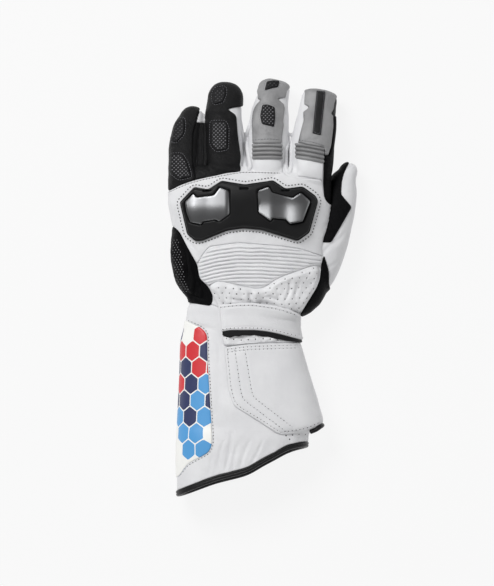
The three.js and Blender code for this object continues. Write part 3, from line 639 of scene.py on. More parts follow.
# The bare glove: lofts of its sections, fused by a remesh. Steps and voxels are in millimetres.
bareForm = {"bodySides": 112, "bodyStep": 1.9, "digitSides": 72, "digitStep": 1.6, "ratioStep": 2.5,
            "capRings": 12, "capEnd": 0.06, "crotchCap": 3, "crotchBlunt": 2, "voxel": 1.5,
            "smoothing": 5, "normalSmoothing": 3}
# Where the thumb runs into the back of the hand without a crease, fading in and out along x and y
thumbBlend = {"x": (30, 36, 48, 56), "y": (-12, -4, 44, 56), "z": (16, 22), "smoothing": 60}


# A circle drawn out towards a square
def squaredCircle(sides, power):
    angles = np.linspace(0, 2 * np.pi, sides, endpoint=False)
    return [np.sign(value) * np.abs(value) ** (2 / power) for value in (np.cos(angles), np.sin(angles))]


def ringPoints(centre, right, up, wide, thick):
    across, rise = squaredCircle(bareForm["digitSides"], fingerPower)
    ring = centre + (across * wide)[:, None] * right + (rise * thick)[:, None] * up
    ring[:, 2] = np.maximum(ring[:, 2], 0)
    return ring


def loft(name, rings):
    sides = len(rings[0])
    points = np.vstack(rings + [np.mean(rings[0], axis=0)[None], np.mean(rings[-1], axis=0)[None]])
    faces = []
    side = np.arange(sides)
    ahead = (side + 1) % sides
    for row in range(len(rings) - 1):
        a, b = row * sides + side, row * sides + ahead
        faces.append(np.stack([a, b, b + sides], 1))
        faces.append(np.stack([a, b + sides, a + sides], 1))
    last = (len(rings) - 1) * sides
    faces.append(np.stack([np.full(sides, len(points) - 2), ahead, side], 1))
    faces.append(np.stack([np.full(sides, len(points) - 1), last + side, last + ahead], 1))
    faces = np.concatenate(faces)[:, ::-1]
    return newObject(name, points, faces, "white")


def bodyAt(y):
    return {column: smoothColumn(bodyRows["y"], bodyRows[column], y)
            for column in bodyRows if column != "y"}


def bodyLoft():
    across, rise = squaredCircle(bareForm["bodySides"], bodyPower)
    rings = []
    for y in np.arange(bodyRows["y"][0], bodyRows["y"][-1] + 0.1, bareForm["bodyStep"]):
        row = bodyAt(np.array([y]))
        row = {column: value[0] for column, value in row.items()}
        x = (row["left"] + row["right"]) / 2 + across * (row["right"] - row["left"]) / 2
        reach = np.where(rise > 0, row["top"] - row["mid"], row["mid"] - row["bottom"])
        z = np.maximum(row["mid"] + rise * reach, 0)
        rings.append(np.stack([x, np.full(len(x), y), z], axis=1))
    return loft("bodyForm", rings)


# Even samples along a digit: centre, right, up, half width and half thickness
def digitSamples(rows, step):
    rows = np.array(rows, float)
    spans = np.linalg.norm(np.diff(rows[:, :3], axis=0), axis=1)
    reach = np.concatenate([[0], np.cumsum(spans)])
    wanted = np.linspace(0, reach[-1], int(reach[-1] / step) + 1)
    columns = np.stack([smoothColumn(reach, rows[:, column], wanted) for column in range(5)], axis=1)
    heading = np.gradient(columns[:, :3], axis=0)
    heading /= np.linalg.norm(heading, axis=1)[:, None]
    right = np.stack([heading[:, 1], -heading[:, 0], np.zeros(len(heading))], axis=1)
    right /= np.linalg.norm(right, axis=1)[:, None]
    up = np.cross(right, heading)
    return columns, heading, right, up


def digitLoft(name, rows, cap, blunt):
    columns, heading, right, up = digitSamples(rows, bareForm["digitStep"])
    rings = [ringPoints(columns[i, :3], right[i], up[i], columns[i, 3], columns[i, 4])
             for i in range(len(columns))]
    for turn in np.linspace(0, np.pi / 2 - bareForm["capEnd"], bareForm["capRings"])[1:]:
        along = np.sin(turn) ** (2 / blunt) * cap
        shrink = np.cos(turn) ** (2 / blunt)
        centre = columns[-1, :3] + heading[-1] * along
        rings.append(ringPoints(centre, right[-1], up[-1], columns[-1, 3] * shrink,
                                columns[-1, 4] * shrink))
    return loft(name, rings)


def bareGlove():
    parts = [bodyLoft()]
    for name, digit in digits.items():
        parts.append(digitLoft(name + "Form", digit["rows"], digit["cap"], digit["blunt"]))
    for name, rows in crotches.items():
        parts.append(digitLoft(name + "Form", rows, bareForm["crotchCap"], bareForm["crotchBlunt"]))
    selectOnly(*parts)
    bpy.ops.object.join()
    form = bpy.context.view_layer.objects.active
    form.data.remesh_voxel_size = bareForm["voxel"] * mm
    form.data.remesh_voxel_adaptivity = 0
    bpy.ops.object.voxel_remesh()
    mesh = form.data
    mesh.calc_loop_triangles()
    faces = np.empty(len(mesh.loop_triangles) * 3, int)
    mesh.loop_triangles.foreach_get("vertices", faces)
    faces = faces.reshape(-1, 3)
    points = np.empty(len(mesh.vertices) * 3)
    mesh.vertices.foreach_get("co", points)
    points = points.reshape(-1, 3) / mm
    bpy.data.objects.remove(form)
    table = np.hstack([points, pointNormals(points, faces)])
    table = relaxed(table, faces, bareForm["smoothing"])
    softer = relaxed(table, faces, thumbBlend["smoothing"])
    near = 1.0
    for column, axis in enumerate("xy"):
        start, full, fading, end = thumbBlend[axis]
        near = near * softStep(start, full, table[:, column]) * softStep(end, fading, table[:, column])
    near = near * softStep(*thumbBlend["z"], table[:, 2])
    table += (softer - table) * near[:, None]
    table[:, 2] = np.maximum(table[:, 2], 0)
    table[:, 3:6] = pointNormals(table[:, :3], faces)
    for step in range(bareForm["normalSmoothing"]):
        table[:, 3:6] = relaxed(table, faces, 1)[:, 3:6]
    return table, faces


# How near a point is to each form: 1 on its surface, more outside it and beyond its ends
formNames = ["body"] + list(digits)
formSize = {"beyond": 8, "halfWidth": 9}  # millimetres that a ratio of 1 stands for


def bodyRatio(points):
    row = bodyAt(points[:, 1])
    across = np.abs(points[:, 0] - (row["left"] + row["right"]) / 2) / ((row["right"] - row["left"]) / 2)
    reach = np.where(points[:, 2] > row["mid"], row["top"] - row["mid"], row["mid"] - row["bottom"])
    rise = np.abs(points[:, 2] - row["mid"]) / reach
    ratio = (across**bodyPower + rise**bodyPower) ** (1 / bodyPower)
    return ratio + np.maximum(points[:, 1] - bodyRows["y"][-1], 0) / formSize["beyond"]


def digitRatio(points, rows):
    columns, heading, right, up = digitSamples(rows, bareForm["ratioStep"])
    nearest = np.full(len(points), np.inf)
    best = np.zeros(len(points), int)
    for place, centre in enumerate(columns[:, :3]):
        away = np.sum((points - centre) ** 2, axis=1)
        closer = away < nearest
        nearest[closer] = away[closer]
        best[closer] = place
    offset = points - columns[best, :3]
    across = np.sum(offset * right[best], axis=1) / columns[best, 3]
    rise = np.sum(offset * up[best], axis=1) / columns[best, 4]
    before = np.minimum(np.sum(offset * heading[best], axis=1), 0) * (best == 0) / formSize["beyond"]
    ratio = (np.abs(across) ** fingerPower + np.abs(rise) ** fingerPower) ** (1 / fingerPower)
    return ratio - before


glove, gloveFaces = bareGlove()
ratios = [bodyRatio(glove[:, :3])] + [digitRatio(glove[:, :3], digits[name]["rows"]) for name in digits]
glove = np.hstack([glove, np.stack(ratios, axis=1)])
print("bare glove:", len(gloveFaces), "triangles")


def lineHeight(name, points):
    rows = np.array(digits[name]["rows"], float)
    slope = (rows[-1, 2] - rows[-2, 2]) / (rows[-1, 1] - rows[-2, 1])
    height = np.interp(points[:, 1], rows[:, 1], rows[:, 2])
    return height + np.maximum(points[:, 1] - rows[-1, 1], 0) * slope


# Positive where a point belongs to one of these forms
def belongs(table, names):
    columns = [6 + formNames.index(name) for name in names]
    others = [6 + place for place in range(len(formNames)) if 6 + place not in columns]
    return (table[:, others].min(axis=1) - table[:, columns].min(axis=1)) * formSize["halfWidth"]


# Rounded edge of a piece of leather: 0 on its border, 1 where it is flat. Rows of points are laid along
# it at these shares of its width.
rollRows = {"panel": (1, 0.45, 0.12), "wall": (1, 0.4)}


def rolled(distance, width):
    t = np.clip(distance / width, 0, 1)
    return np.sqrt(np.maximum(1 - (1 - t) ** 2, 0))


# Where a point of the surface comes to lie once it is lifted
def lifted(rows, height):
    return rows[:, :2] + height * rows[:, 3:5]


# A sewn panel: the glove's own surface inside an outline, lifted to its layer with rolled edges. It
# ends where its forms do, at the floor given, and with "over" so far under a finger's middle line.
# The outline is that of the panel as seen from above, once it is lifted by "lift".
panelMargin = 3  # how far round its outline the surface is looked at


def panel(name, outline, finish, forms, slot=None, floor=9.0, over=None, low=layers["skinLow"],
          high=layers["skinHigh"], radius=3.0, edge=1.3, fineness=1, pillow=0.35, pillowWidth=4.0,
          relief=None, levels=(), attributes=None, inset=layers["seam"], lip=None, lift=1.7):
    shape = rounded(outline, radius)
    top = lifted(glove, lift)
    near = ((top > shape.min(axis=0) - panelMargin) & (top < shape.max(axis=0) + panelMargin)).all(axis=1)
    near &= glove[:, 2] > floor - panelMargin
    table, faces = compacted(glove, gloveFaces[near[gloveFaces].all(axis=1)])
    if insideDistance(table, shape).max() < 0:
        raise ValueError(name + " lies off the glove")

    def reach(rows):
        distance = insideDistance(lifted(rows, lift), shape) - inset
        distance = np.minimum(distance, rows[:, 2] - floor)
        if over:
            distance = np.minimum(distance, rows[:, 2] - lineHeight(over[0], rows) + over[1])
        return np.minimum(distance, belongs(rows, forms))

    coarse = reach(table)
    table, faces = compacted(table, faces[(coarse[faces] > -panelMargin - 1).any(axis=1)])
    for step in range(fineness):
        table, faces = refined(table, faces)
    for share in rollRows["panel"]:
        table, faces, _ = cutAlong(table, faces, reach(table) - edge * share)
    table, faces, _ = keepInside(table, faces, reach(table))
    for field, level in levels:
        table, faces, _ = cutAlong(table, faces, field(table) - level)
    distance = np.maximum(reach(table), 0)
    lip = low + layers["lip"] if lip is None else lip
    height = lip + (high - lip) * rolled(distance, edge)
    height -= pillow * np.exp(-distance / pillowWidth)
    if relief is not None:
        height = height + relief(table, distance) * softStep(0, edge, distance)
    normals = table[:, 3:6] / np.linalg.norm(table[:, 3:6], axis=1)[:, None]
    height = np.maximum(height, low)
    outer = table[:, :3] + normals * height[:, None]
    inner = table[:, :3] + normals * (low - layers["sunk"])
    outer[:, 2] = np.maximum(outer[:, 2], layers["ground"])
    inner[:, 2] = np.maximum(inner[:, 2], layers["ground"])
    points, walls = closedWall(faces, outer, inner)
    piece = newObject(name + "_skin", points, walls, finish)
    for title, maker in (attributes or {}).items():
        values = np.concatenate([maker(table, distance), np.zeros(len(points) - len(table))])
        piece.data.attributes.new(title, "FLOAT", "POINT").data.foreach_set("value", values)
    return settle(piece, slot or slotOf[finish], name)


# Rays from above find where stitches, holes and piping lie on a piece
trees = {}
rayHeight = 0.2  # metres, well over the glove


def treeOf(*pieces):
    key = tuple(piece.name for piece in pieces)
    if key not in trees:
        points, faces = [], []
        for piece in pieces:
            start = len(points)
            points += [tuple(vertex.co) for vertex in piece.data.vertices]
            faces += [[start + index for index in polygon.vertices] for polygon in piece.data.polygons]
        trees[key] = BVHTree.FromPolygons(points, faces)
    return trees[key]


def surfaceUnder(tree, x, y):
    hit, normal, _, _ = tree.ray_cast(Vector((x * mm, y * mm, rayHeight)), Vector((0, 0, -1)))
    if hit is None:
        return None, None
    return np.array(hit) / mm, np.array(normal)


# Short stitches, each an arched thread between two needle holes, all in one mesh. One is left out where
# its ends would lie too many pitches apart, seen from above or in height.
stitchForm = {"sides": 6, "sink": 0.08, "longest": 2.5, "steepest": 1.6}


def stitches(name, route, target, finish, slot, pitch=3.0, gapShare=0.3, thick=0.32, closed=False,
             holes=True, holeSize=0.42):
    tree = treeOf(target)
    spots = evenSteps(np.asarray(route, float), pitch, closed)
    count = len(spots)
    points, faces, holePoints, holeFaces = [], [], [], []
    last = count if closed else count - 1
    for place in range(last):
        start, end = spots[place], spots[(place + 1) % count]
        if np.hypot(*(end - start)) > pitch * stitchForm["longest"]:
            continue
        shares = (gapShare / 2, 0.5, 1 - gapShare / 2)
        rows = [surfaceUnder(tree, *(start + (end - start) * share)) for share in shares]
        if any(row[0] is None for row in rows):
            continue
        if abs(rows[0][0][2] - rows[2][0][2]) > pitch * stitchForm["steepest"]:
            continue
        heading = rows[2][0] - rows[0][0]
        heading /= np.linalg.norm(heading)
        normal = rows[1][1]
        side = np.cross(heading, normal)
        side /= np.linalg.norm(side)
        first, sides = len(points), stitchForm["sides"]
        sunk = -stitchForm["sink"] - thick * 0.5
        lifts = (sunk, thick * 0.25, thick * 0.45, thick * 0.25, sunk)
        middles = (rows[0][0], (rows[0][0] + rows[1][0]) / 2, rows[1][0],
                   (rows[2][0] + rows[1][0]) / 2, rows[2][0])
        for middle, lift in zip(middles, lifts):
            for k in range(sides):
                angle = 2 * math.pi * k / sides
                points.append(middle + normal * (lift + math.sin(angle) * thick * 0.5)
                              + side * math.cos(angle) * thick * 0.5)
        for ring in range(4):
            for k in range(sides):
                a = first + ring * sides + k
                b = first + ring * sides + (k + 1) % sides
                faces.append((a, a + sides, b + sides, b))
        faces.append(tuple(first + k for k in range(sides)))
        faces.append(tuple(first + 4 * sides + k for k in reversed(range(sides))))
        # a dark disc at each needle hole, painted shade
        if holes:
            spot, up = surfaceUnder(tree, *start)
            if spot is not None:
                addDisc(holePoints, holeFaces, spot, up, holeSize)
    if faces:
        settle(newObject(name, points, faces, finish), slot)
    if holeFaces:
        settle(newObject(name + "_holes", holePoints, holeFaces, "hole"), slot)


# A small dark lens that lies in the surface: painted shade that stands for the inside of a hole
lens = {"sides": 8, "rise": 0.05, "depth": 0.12}


def addDisc(points, faces, spot, up, radius):
    sides, rise = lens["sides"], lens["rise"]
    side = np.cross(up, (0.3, 0.9, 0.1))  # any direction along the surface
    side /= np.linalg.norm(side)
    other = np.cross(up, side)
    first = len(points)
    for k in range(sides):
        angle = 2 * math.pi * k / sides
        points.append(spot + (side * math.cos(angle) + other * math.sin(angle)) * radius + up * rise * 0.4)
    points.append(spot + up * rise)
    points.append(spot - up * lens["depth"])
    for k in range(sides):
        ahead = first + (k + 1) % sides
        faces.append((first + k, ahead, first + sides))
        faces.append((ahead, first + k, first + sides + 1))


# Discs on a piece at the given spots; in the default black finish they are painted shade for the insides of
# perforations
def holeField(name, spots, target, radius, slot, finish="hole"):
    tree = treeOf(target)
    points, faces = [], []
    for x, y in spots:
        spot, up = surfaceUnder(tree, x, y)
        if spot is not None:
            addDisc(points, faces, spot, up, radius)
    settle(newObject(name, points, faces, finish), slot)


# A round cord along a route of points on the surface, as a beveled curve made a mesh
cordForm = {"bevel": 4, "merge": 0.00001}


def piping(name, points, radius, finish, nodes=(), closed=False):
    curve = bpy.data.curves.new(name, "CURVE")
    curve.dimensions = "3D"
    curve.bevel_depth = radius * mm
    curve.bevel_resolution = cordForm["bevel"]
    curve.use_fill_caps = True
    spline = curve.splines.new("POLY")
    spline.points.add(len(points) - 1)
    for spot, point in zip(spline.points, points):
        spot.co = (point[0] * mm, point[1] * mm, point[2] * mm, 1)
    spline.use_cyclic_u = closed
    cord = bpy.data.objects.new(name, curve)
    bpy.context.collection.objects.link(cord)
    selectOnly(cord)
    bpy.ops.object.convert(target="MESH")
    cord = bpy.context.view_layer.objects.active
    cord.name = name + "_cord"
    bpy.ops.object.mode_set(mode="EDIT")
    bpy.ops.mesh.select_all(action="SELECT")
    bpy.ops.mesh.remove_doubles(threshold=cordForm["merge"])
    bpy.ops.mesh.normals_make_consistent(inside=False)
    bpy.ops.object.mode_set(mode="OBJECT")
    bpy.ops.object.shade_smooth()
    cord.data.materials.clear()
    cord.data.materials.append(finishes[finish])
    settle(cord, slotOf[finish], *nodes)


# Places over the pieces along a route seen from above
def routeOn(target, route, pitch, lift):
    tree = treeOf(*target)
    result = []
    for x, y in evenSteps(np.asarray(route, float), pitch, False):
        spot, up = surfaceUnder(tree, x, y)
        if spot is not None:
            result.append(spot + up * lift)
    return np.array(result)


# Height of the seam between palm and back: low along the hand, and higher up the fingers from "start"
# to "end" along y, where it lies "under" a finger's middle line
palmSeam = {"low": 8.6, "under": 5.0, "start": 66, "end": 96, "thumbStart": 30, "thumbEnd": 60,
            "bodyFrom": 60, "bodyRise": 12.5, "crotch": 2.5, "crotchHalf": (6.8, 4.4),
            "crotchY": (78, 88)}


def palmLevel(table):
    low = palmSeam["low"]
    level = np.full(len(table), low)
    y = table[:, 1]
    raised = softStep(palmSeam["start"], palmSeam["end"], y)
    for name in digits:
        line = lineHeight(name, table) - palmSeam["under"]
        share = softStep(palmSeam["thumbStart"], palmSeam["thumbEnd"], y) if name == "thumb" else raised
        level = np.where(belongs(table, [name]) > 0, low + (line - low) * share, level)
    body = (belongs(table, ["body"]) > 0) & (y > palmSeam["bodyFrom"])
    level = np.where(body, low + palmSeam["bodyRise"] * raised, level)
    for rows in crotches.values():
        away = np.abs(table[:, 0] - rows[0][0])
        near = softStep(*palmSeam["crotchHalf"], away) * softStep(*palmSeam["crotchY"], y)
        level = level + (palmSeam["crotch"] - level) * near
    return level


def hemDistance(table):
    curve = np.array(hem["curve"], float)
    edge = smoothColumn(curve[:, 0], curve[:, 1], table[:, 0])
    return table[:, 1] - edge - (table[:, 2] - hem["top"]) * hem["slope"]


# Where the glove's own wall is black: two outlines less a window in one of them, and the side of the
# index finger beyond "indexX" from "indexY", with its tip beyond its middle line from "tipY"
blackSides = {
    "hand": [(-90, 72), (-78, 40), (-60, 36), (-45, -6), (-42, -12.2), (-52, -12.4), (-60, -11.2),
             (-90, -11.2)],
    "fingers": [(-90, 70), (-50, 76), (-31, 82), (-31, 139), (-8, 139), (-8, 175), (-90, 175)],
    "window": [(-50.6, 126.8), (-49.4, 132), (-47.6, 137.4), (-42, 139), (-42, 125)],
    "indexX": 47.5, "indexY": 66, "tipY": 96,
}


def blackSide(table):
    hand, fingers, window = (insideDistance(table, np.array(blackSides[name], float))
                             for name in ("hand", "fingers", "window"))
    fingers = np.minimum(fingers, -window)
    index = np.minimum(table[:, 0] - blackSides["indexX"], belongs(table, ["body", "index"]))
    index = np.minimum(index, table[:, 1] - blackSides["indexY"])
    tip = np.minimum(table[:, 0] - lineX("index", table), belongs(table, ["index"]))
    index = np.maximum(index, np.minimum(tip, table[:, 1] - blackSides["tipY"]))
    return np.maximum(np.maximum(fingers, hand), index)


def lineX(name, table):
    rows = np.array(digits[name]["rows"], float)
    return np.interp(table[:, 1], rows[:, 1], rows[:, 0])


# A piece of the glove's own wall, cut where a field is positive, with its edges turned in
wallForm = {"edge": 1.0, "turnIn": 0.7, "cell": 3.0, "floorShare": 0.8}


def wallPiece(name, field, finish, nodes, relief, wall=layers["wall"]):
    reach = lambda rows: field(rows) - layers["seam"] / 2
    edge = wallForm["edge"]
    values = reach(glove)
    table, faces = compacted(glove, gloveFaces[(values[gloveFaces] > -panelMargin).any(axis=1)])
    for share in rollRows["wall"]:
        table, faces, _ = cutAlong(table, faces, reach(table) - edge * share)
    table, faces, _ = keepInside(table, faces, reach(table))
    distance = np.maximum(reach(table), 0)
    height = -wallForm["turnIn"] * (1 - rolled(distance, edge)) + relief(table)
    normals = table[:, 3:6] / np.linalg.norm(table[:, 3:6], axis=1)[:, None]
    outer = table[:, :3] + normals * height[:, None]
    outer[:, 2] = np.maximum(outer[:, 2], layers["ground"])
    inner = table[:, :3] - normals * wall
    inner[:, 2] = np.maximum(inner[:, 2], layers["ground"] + wall * wallForm["floorShare"])
    points, walls = closedWall(faces, outer, inner, wallForm["cell"])
    piece = settle(newObject(name, points, walls, finish), slotOf[finish], *nodes)
    return piece, table, faces


def onHand(table):
    line = np.array(hem["wrist"], float)
    return table[:, 1] - np.interp(table[:, 0], line[:, 0], line[:, 1])


# Lumps of the pieces, each as height, size, seed and perhaps stretch
lumps = {
    "hand": [(0.22, 14, 3), (0.1, 5, 4)],
    "cuff": [(0.45, 18, 11), (0.16, 6, 12)],
    "back": [(0.3, 12, 21), (0.12, 4, 22)],
    "wristBroad": [(1.9, 10, 41, (0.9, 1.1, 1))],
    "wristFine": [(0.4, 4, 43)],
    "gusset": [(1.0, 5, 44, (1.4, 0.8, 1)), (0.4, 2.2, 45)],
    "side": [(0.6, 9, 51)],
    "sideRough": [(0.2, 1.8, 52)],
    "radial": [(0.2, 6, 61)],
    "indexSide": [(0.2, 6, 62)],
    "web": [(0.2, 7, 63)],
    "pinky": [(0.35, 7, 64)],
    "ring": [(0.35, 7, 65)],
    "silver": [(0.24, 6, 66), (0.14, 2.6, 68, (1, 1.8, 1))],
    "base": [(0.25, 5, 67)],
    "strap": [(0.15, 14, 71)],
    "flap": [(0.3, 20, 72, (0.7, 1.6, 1)), (0.06, 5, 73)],
    "print": [(0.2, 12, 74)],
    "bridge": [(0.25, 4, 81)],
}
# Creases, each as start, end, width, depth and bow
creases = {
    "hand": [(44, 22, 60, 38, 1.3, 0.5, 1.5), (46, 14, 58, 20, 1.2, 0.4, -1.0),
             (43, 8, 52, 8, 1.0, 0.35, 0.6), (56, 60, 70, 56, 1.2, 0.25, 1.0),
             (50, 28, 66, 48, 1.6, 0.3, -2.0), (62, 74, 71, 70, 1.0, 0.2, 0.5)],
    "cuff": [(-34, -140, -30, -118, 1.2, 0.5, 1.0), (-29, -142, -24, -112, 1.3, 0.55, -1.0),
             (-23, -142, -19, -120, 1.1, 0.45, 0.8), (-17, -140, -10, -118, 1.3, 0.5, 1.0),
             (-10, -137, 0, -117, 1.2, 0.4, -1.0), (-40, -144, -39, -130, 1.2, 0.35, 0.5),
             (-36, -38, -33, -60, 1.6, 0.35, 1.0), (-56, -30, -36, -33, 1.5, 0.4, 1.0),
             (-34, -70, -32, -100, 2.4, 0.3, -1.0)],
    "back": [(-58, 36, -47, 22, 1.2, 0.45, 0.8), (-62, 40, -50, 26, 1.1, 0.35, 1.2),
             (-55, 30, -46, 18, 1.0, 0.4, 0.5), (30, 85, 47, 83, 0.9, 0.35, 0.4),
             (44, 60, 50, 50, 1.3, 0.35, 0.8), (40, 38, 47, 30, 1.4, 0.3, 0.8),
             (-70, 62, -66, 50, 1.4, 0.3, 1.0), (46, 44, 50, 34, 1.1, 0.3, 0.4),
             (34, 80, 46, 76, 1.1, 0.2, 0.5)],
    "wrist": [(-30, -3, -29, -14, 1.4, 0.9, 0.5), (-22, -1, -23, -15, 1.3, 0.8, -0.8),
              (-36, -3, -31, -13, 1.4, 1.2, 0.5), (-9.4, -3, -9, -14, 2.2, 3.6, 0.4),
              (-7, 1.2, 2, 0.6, 2.0, 3.0, -0.4), (-26, -9, -12, -12, 1.6, 1.2, 0.6),
              (9, 2, 13, -14, 1.6, 1.0, 1.2), (20.5, 7, 17, -10, 1.5, 1.5, 1.8),
              (29, 6, 24, -14, 1.6, 0.8, -1.4), (2, -7, 12, -11, 1.6, 1.6, 0.8),
              (-28, -38, -10, -42, 1.3, 0.7, 0.8), (-22, -36, -2, -40, 1.1, 0.6, -0.6),
              (-8, -37, 12, -41, 1.2, 0.6, 0.6), (10, -38, 26, -42, 1.0, 0.5, 0.4),
              (-26, -41, -16, -37, 0.9, 0.5, 0.5), (-18, -39, -12, -43, 0.8, 0.6, 0.3),
              (-4, -38, 2, -43, 0.9, 0.7, 0.3), (6, -39, 16, -43, 0.9, 0.6, 0.4)],
    "side": [(-58, 30, -52, -8, 1.7, 1.0, 4.0), (-55, 22, -49, -8, 1.4, 0.8, 3.0),
             (-62, 34, -58, 4, 1.6, 0.6, 2.0), (-51, 10, -45, -9, 1.3, 0.7, 1.2),
             (-60, 0, -44, -9, 1.4, 0.6, -1.5)],
    "pinky": [(-70, 108, -60, 106, 1.4, 0.35, 0.6), (-66, 84, -56, 97, 2.0, 0.3, 1.0)],
    "ring": [(-37, 101, -22, 97, 1.8, 0.5, 1.5), (-38, 94, -20, 92, 1.6, 0.4, -1.0),
             (-38, 134, -22, 132, 1.8, 0.4, 1.0), (-34, 98, -26, 90, 1.5, 0.3, 0.8)],
    "middle": [(-6, 117, 14, 115, 1.3, 0.35, 1.0), (-6, 141, 15, 140, 2.2, 0.35, 0.8),
               (2, 120, 14, 113, 1.2, 0.3, 0.5), (-8, 122, -2, 115, 1.2, 0.3, -0.5)],
    "index": [(38.6, 114.6, 48, 112.2, 0.7, -0.7, 0.2), (30, 112, 46, 114.5, 1.1, 0.35, -0.5),
              (45, 118, 52, 108, 1.4, 0.35, 0.8), (34, 139, 50, 137, 2.2, 0.3, 0.8)],
}
aboveFloor = (0, 3)  # the leather that the glove lies on has no relief


# Relief of a piece: its lumps, and its creases made deeper
def softRelief(lumpsName, creasesName=None, deeper=1.0):
    def relief(rows, distance):
        total = lumpy(rows, lumps[lumpsName])
        return total + deeper * creased(rows, creases[creasesName]) if creasesName else total
    return relief


def handRelief(rows):
    return softRelief("hand", "hand", 1.6)(rows, None) * softStep(*aboveFloor, rows[:, 2])


def backSide(rows):
    return np.minimum(rows[:, 2] - palmLevel(rows), onHand(rows))


wallPiece("palm_leather", lambda rows: np.minimum(palmLevel(rows) - rows[:, 2], onHand(rows)), "palm",
          ["hand_shell"], handRelief)
hand, _, _ = wallPiece(
    "hand_leather", lambda rows: np.minimum(backSide(rows), -blackSide(rows)), "white",
    ["hand_shell", "ring_stall", "middle_stall", "index_stall", "thumb_stall"], handRelief)
wallPiece("side_leather", lambda rows: np.minimum(backSide(rows), blackSide(rows)), "black",
          ["pinky_stall"], handRelief)

# Gathers of the cuff along its hem
gathers = {"height": 0.55, "reach": 9, "size": 3.2, "seed": 13, "stretch": (1, 5, 1)}


def cuffRelief(rows):
    near = np.exp(-np.maximum(hemDistance(rows), 0) / gathers["reach"])
    folds = softNoise(rows, gathers["size"], gathers["seed"], gathers["stretch"])
    total = softRelief("cuff", "cuff", 2.2)(rows, None) + gathers["height"] * near * folds
    return total * softStep(*aboveFloor, rows[:, 2])


cuff, cuffTable, cuffFaces = wallPiece(
    "cuff_leather", lambda rows: np.minimum(-onHand(rows), hemDistance(rows)), "white", ["gauntlet"],
    cuffRelief, wall=layers["cuffWall"])
print("hand, palm and cuff")


# Panels of the hand
knuckles = ["body", "pinky", "ring", "middle", "index"]
backOutline = (seams["knuckle"] + [(-12, 89.4), (16.4, 88.6), (18, 86), (24, 85.6), (26, 83.8),
               (46.4, 81.6), (47, 74), (48.4, 67), (53, 62.6), (62, 62), (62, 25.4), (46.6, 25.2)]
               + seams["ribTop"][::-1] + seams["ulnar"][:4][::-1])
backPanel = panel("back_panel", backOutline, "white", knuckles, floor=20, edge=1.0, lip=0.9, inset=0.05,
                  relief=softRelief("back", "back"))

# Accordion ribs, numbered down from firstY, each a tube that ripples and stands less high to the right.
# The drops bend them down on both sides of middleX. The levels put points on the ribs' flanks.
ribs = {"count": 11, "firstY": 32.4, "pitch": 2.85, "middleX": -14, "dropLeft": 0.0048,
        "dropRight": 0.0011, "rise": 1.9, "ground": 0.9, "power": 0.45, "waver": 0.10, "ripple": 0.25,
        "border": 2.4, "start": (-0.4, 0.3), "end": (10.9, 11.6), "fallX": (20, 44), "fall": 0.2,
        "levels": (0.0, 0.09, 0.5, 0.91)}


def ribPhase(rows):
    away = rows[:, 0] - ribs["middleX"]
    drop = np.where(away < 0, ribs["dropLeft"], ribs["dropRight"]) * away * away
    return (ribs["firstY"] - drop - rows[:, 1]) / ribs["pitch"]


def ribRelief(rows, distance):
    phase = ribPhase(rows) + ribs["waver"] * softNoise(rows, 9, 31)
    tube = np.abs(np.sin(np.pi * phase)) ** ribs["power"]
    ripple = 1 + ribs["ripple"] * softNoise(rows, 6, 32, (2, 1, 1))
    calm = (softStep(0.0, ribs["border"], distance) * softStep(*ribs["start"], phase)
            * (1 - softStep(*ribs["end"], phase)))
    right = 1 - ribs["fall"] * softStep(*ribs["fallX"], rows[:, 0])
    return (ribs["rise"] * tube * ripple - ribs["ground"]) * calm * right


ribOutline = seams["ribTop"] + [(45.5, 16)] + seams["ribBottom"][:-1][::-1]
panel("back_rib_panel", ribOutline, "white", ["body", "thumb"], floor=20, edge=0.8, pillow=0.2,
      pillowWidth=2, lip=1.0, inset=0.05, relief=ribRelief,
      levels=[(ribPhase, number + part) for number in range(ribs["count"]) for part in ribs["levels"]])

holes = {"margin": 1.8, "across": 5.6, "down": 3.9, "radius": 0.6, "dimple": 0.4, "dimpleSquare": 0.8}


# Staggered rows of spots inside an outline, a little bent as the leather is
latticeBend = {"far": 0.5, "alongX": 0.4, "alongY": 0.21}


def holeLattice(outline, margin, across, down):
    shape = grown(rounded(outline, 3.0), -margin)
    low, high = shape.min(axis=0), shape.max(axis=0)
    spots = np.array([(x, y) for row, y in enumerate(np.arange(high[1], low[1], -down))
                      for x in np.arange(low[0] + (row % 2) * across / 2, high[0], across)])
    spots += latticeBend["far"] * np.stack([np.sin(spots[:, 1] * latticeBend["alongX"]),
                                            np.cos(spots[:, 0] * latticeBend["alongY"])], axis=1)
    return spots[insideDistance(spots, shape) > 0]


wristOutline = (seams["ribBottom"][1:] + seams["radial"][1:]
                + [(29.6, -25), (40, -30), (40, -41.6), (-10, -43), (-30, -45.4), (-33, -22), (-34, -15),
                   seams["ulnar"][7]])
wristHoles = holeLattice(wristOutline, holes["margin"], holes["across"], holes["down"])
# The leather puffs up from the strap's top line, which falls to the right, and its lower end is a
# finely gathered gusset
wristForm = {"strapTop": -13, "fallFrom": 4, "fall": 0.3, "puff": 1.7, "puffFrom": 1, "puffTo": 5,
             "border": (0.5, 4), "gusset": (-35, -37)}


def wristRelief(rows, distance):
    strapTop = wristForm["strapTop"] - wristForm["fall"] * np.maximum(rows[:, 0] - wristForm["fallFrom"], 0)
    puff = softStep(strapTop - wristForm["puffFrom"], strapTop + wristForm["puffTo"], rows[:, 1])
    puff = puff * softStep(*wristForm["border"], distance)
    total = (wristForm["puff"] * puff + lumpy(rows, lumps["wristBroad"]) + creased(rows, creases["wrist"])
             + lumpy(rows, lumps["wristFine"]))
    total += softStep(*wristForm["gusset"], rows[:, 1]) * lumpy(rows, lumps["gusset"])
    nearest = np.full(len(rows), np.inf)
    top = lifted(rows, 1.7)
    for x, y in wristHoles:
        nearest = np.minimum(nearest, (top[:, 0] - x) ** 2 + (top[:, 1] - y) ** 2)
    return total - holes["dimple"] * np.exp(-nearest / holes["dimpleSquare"])


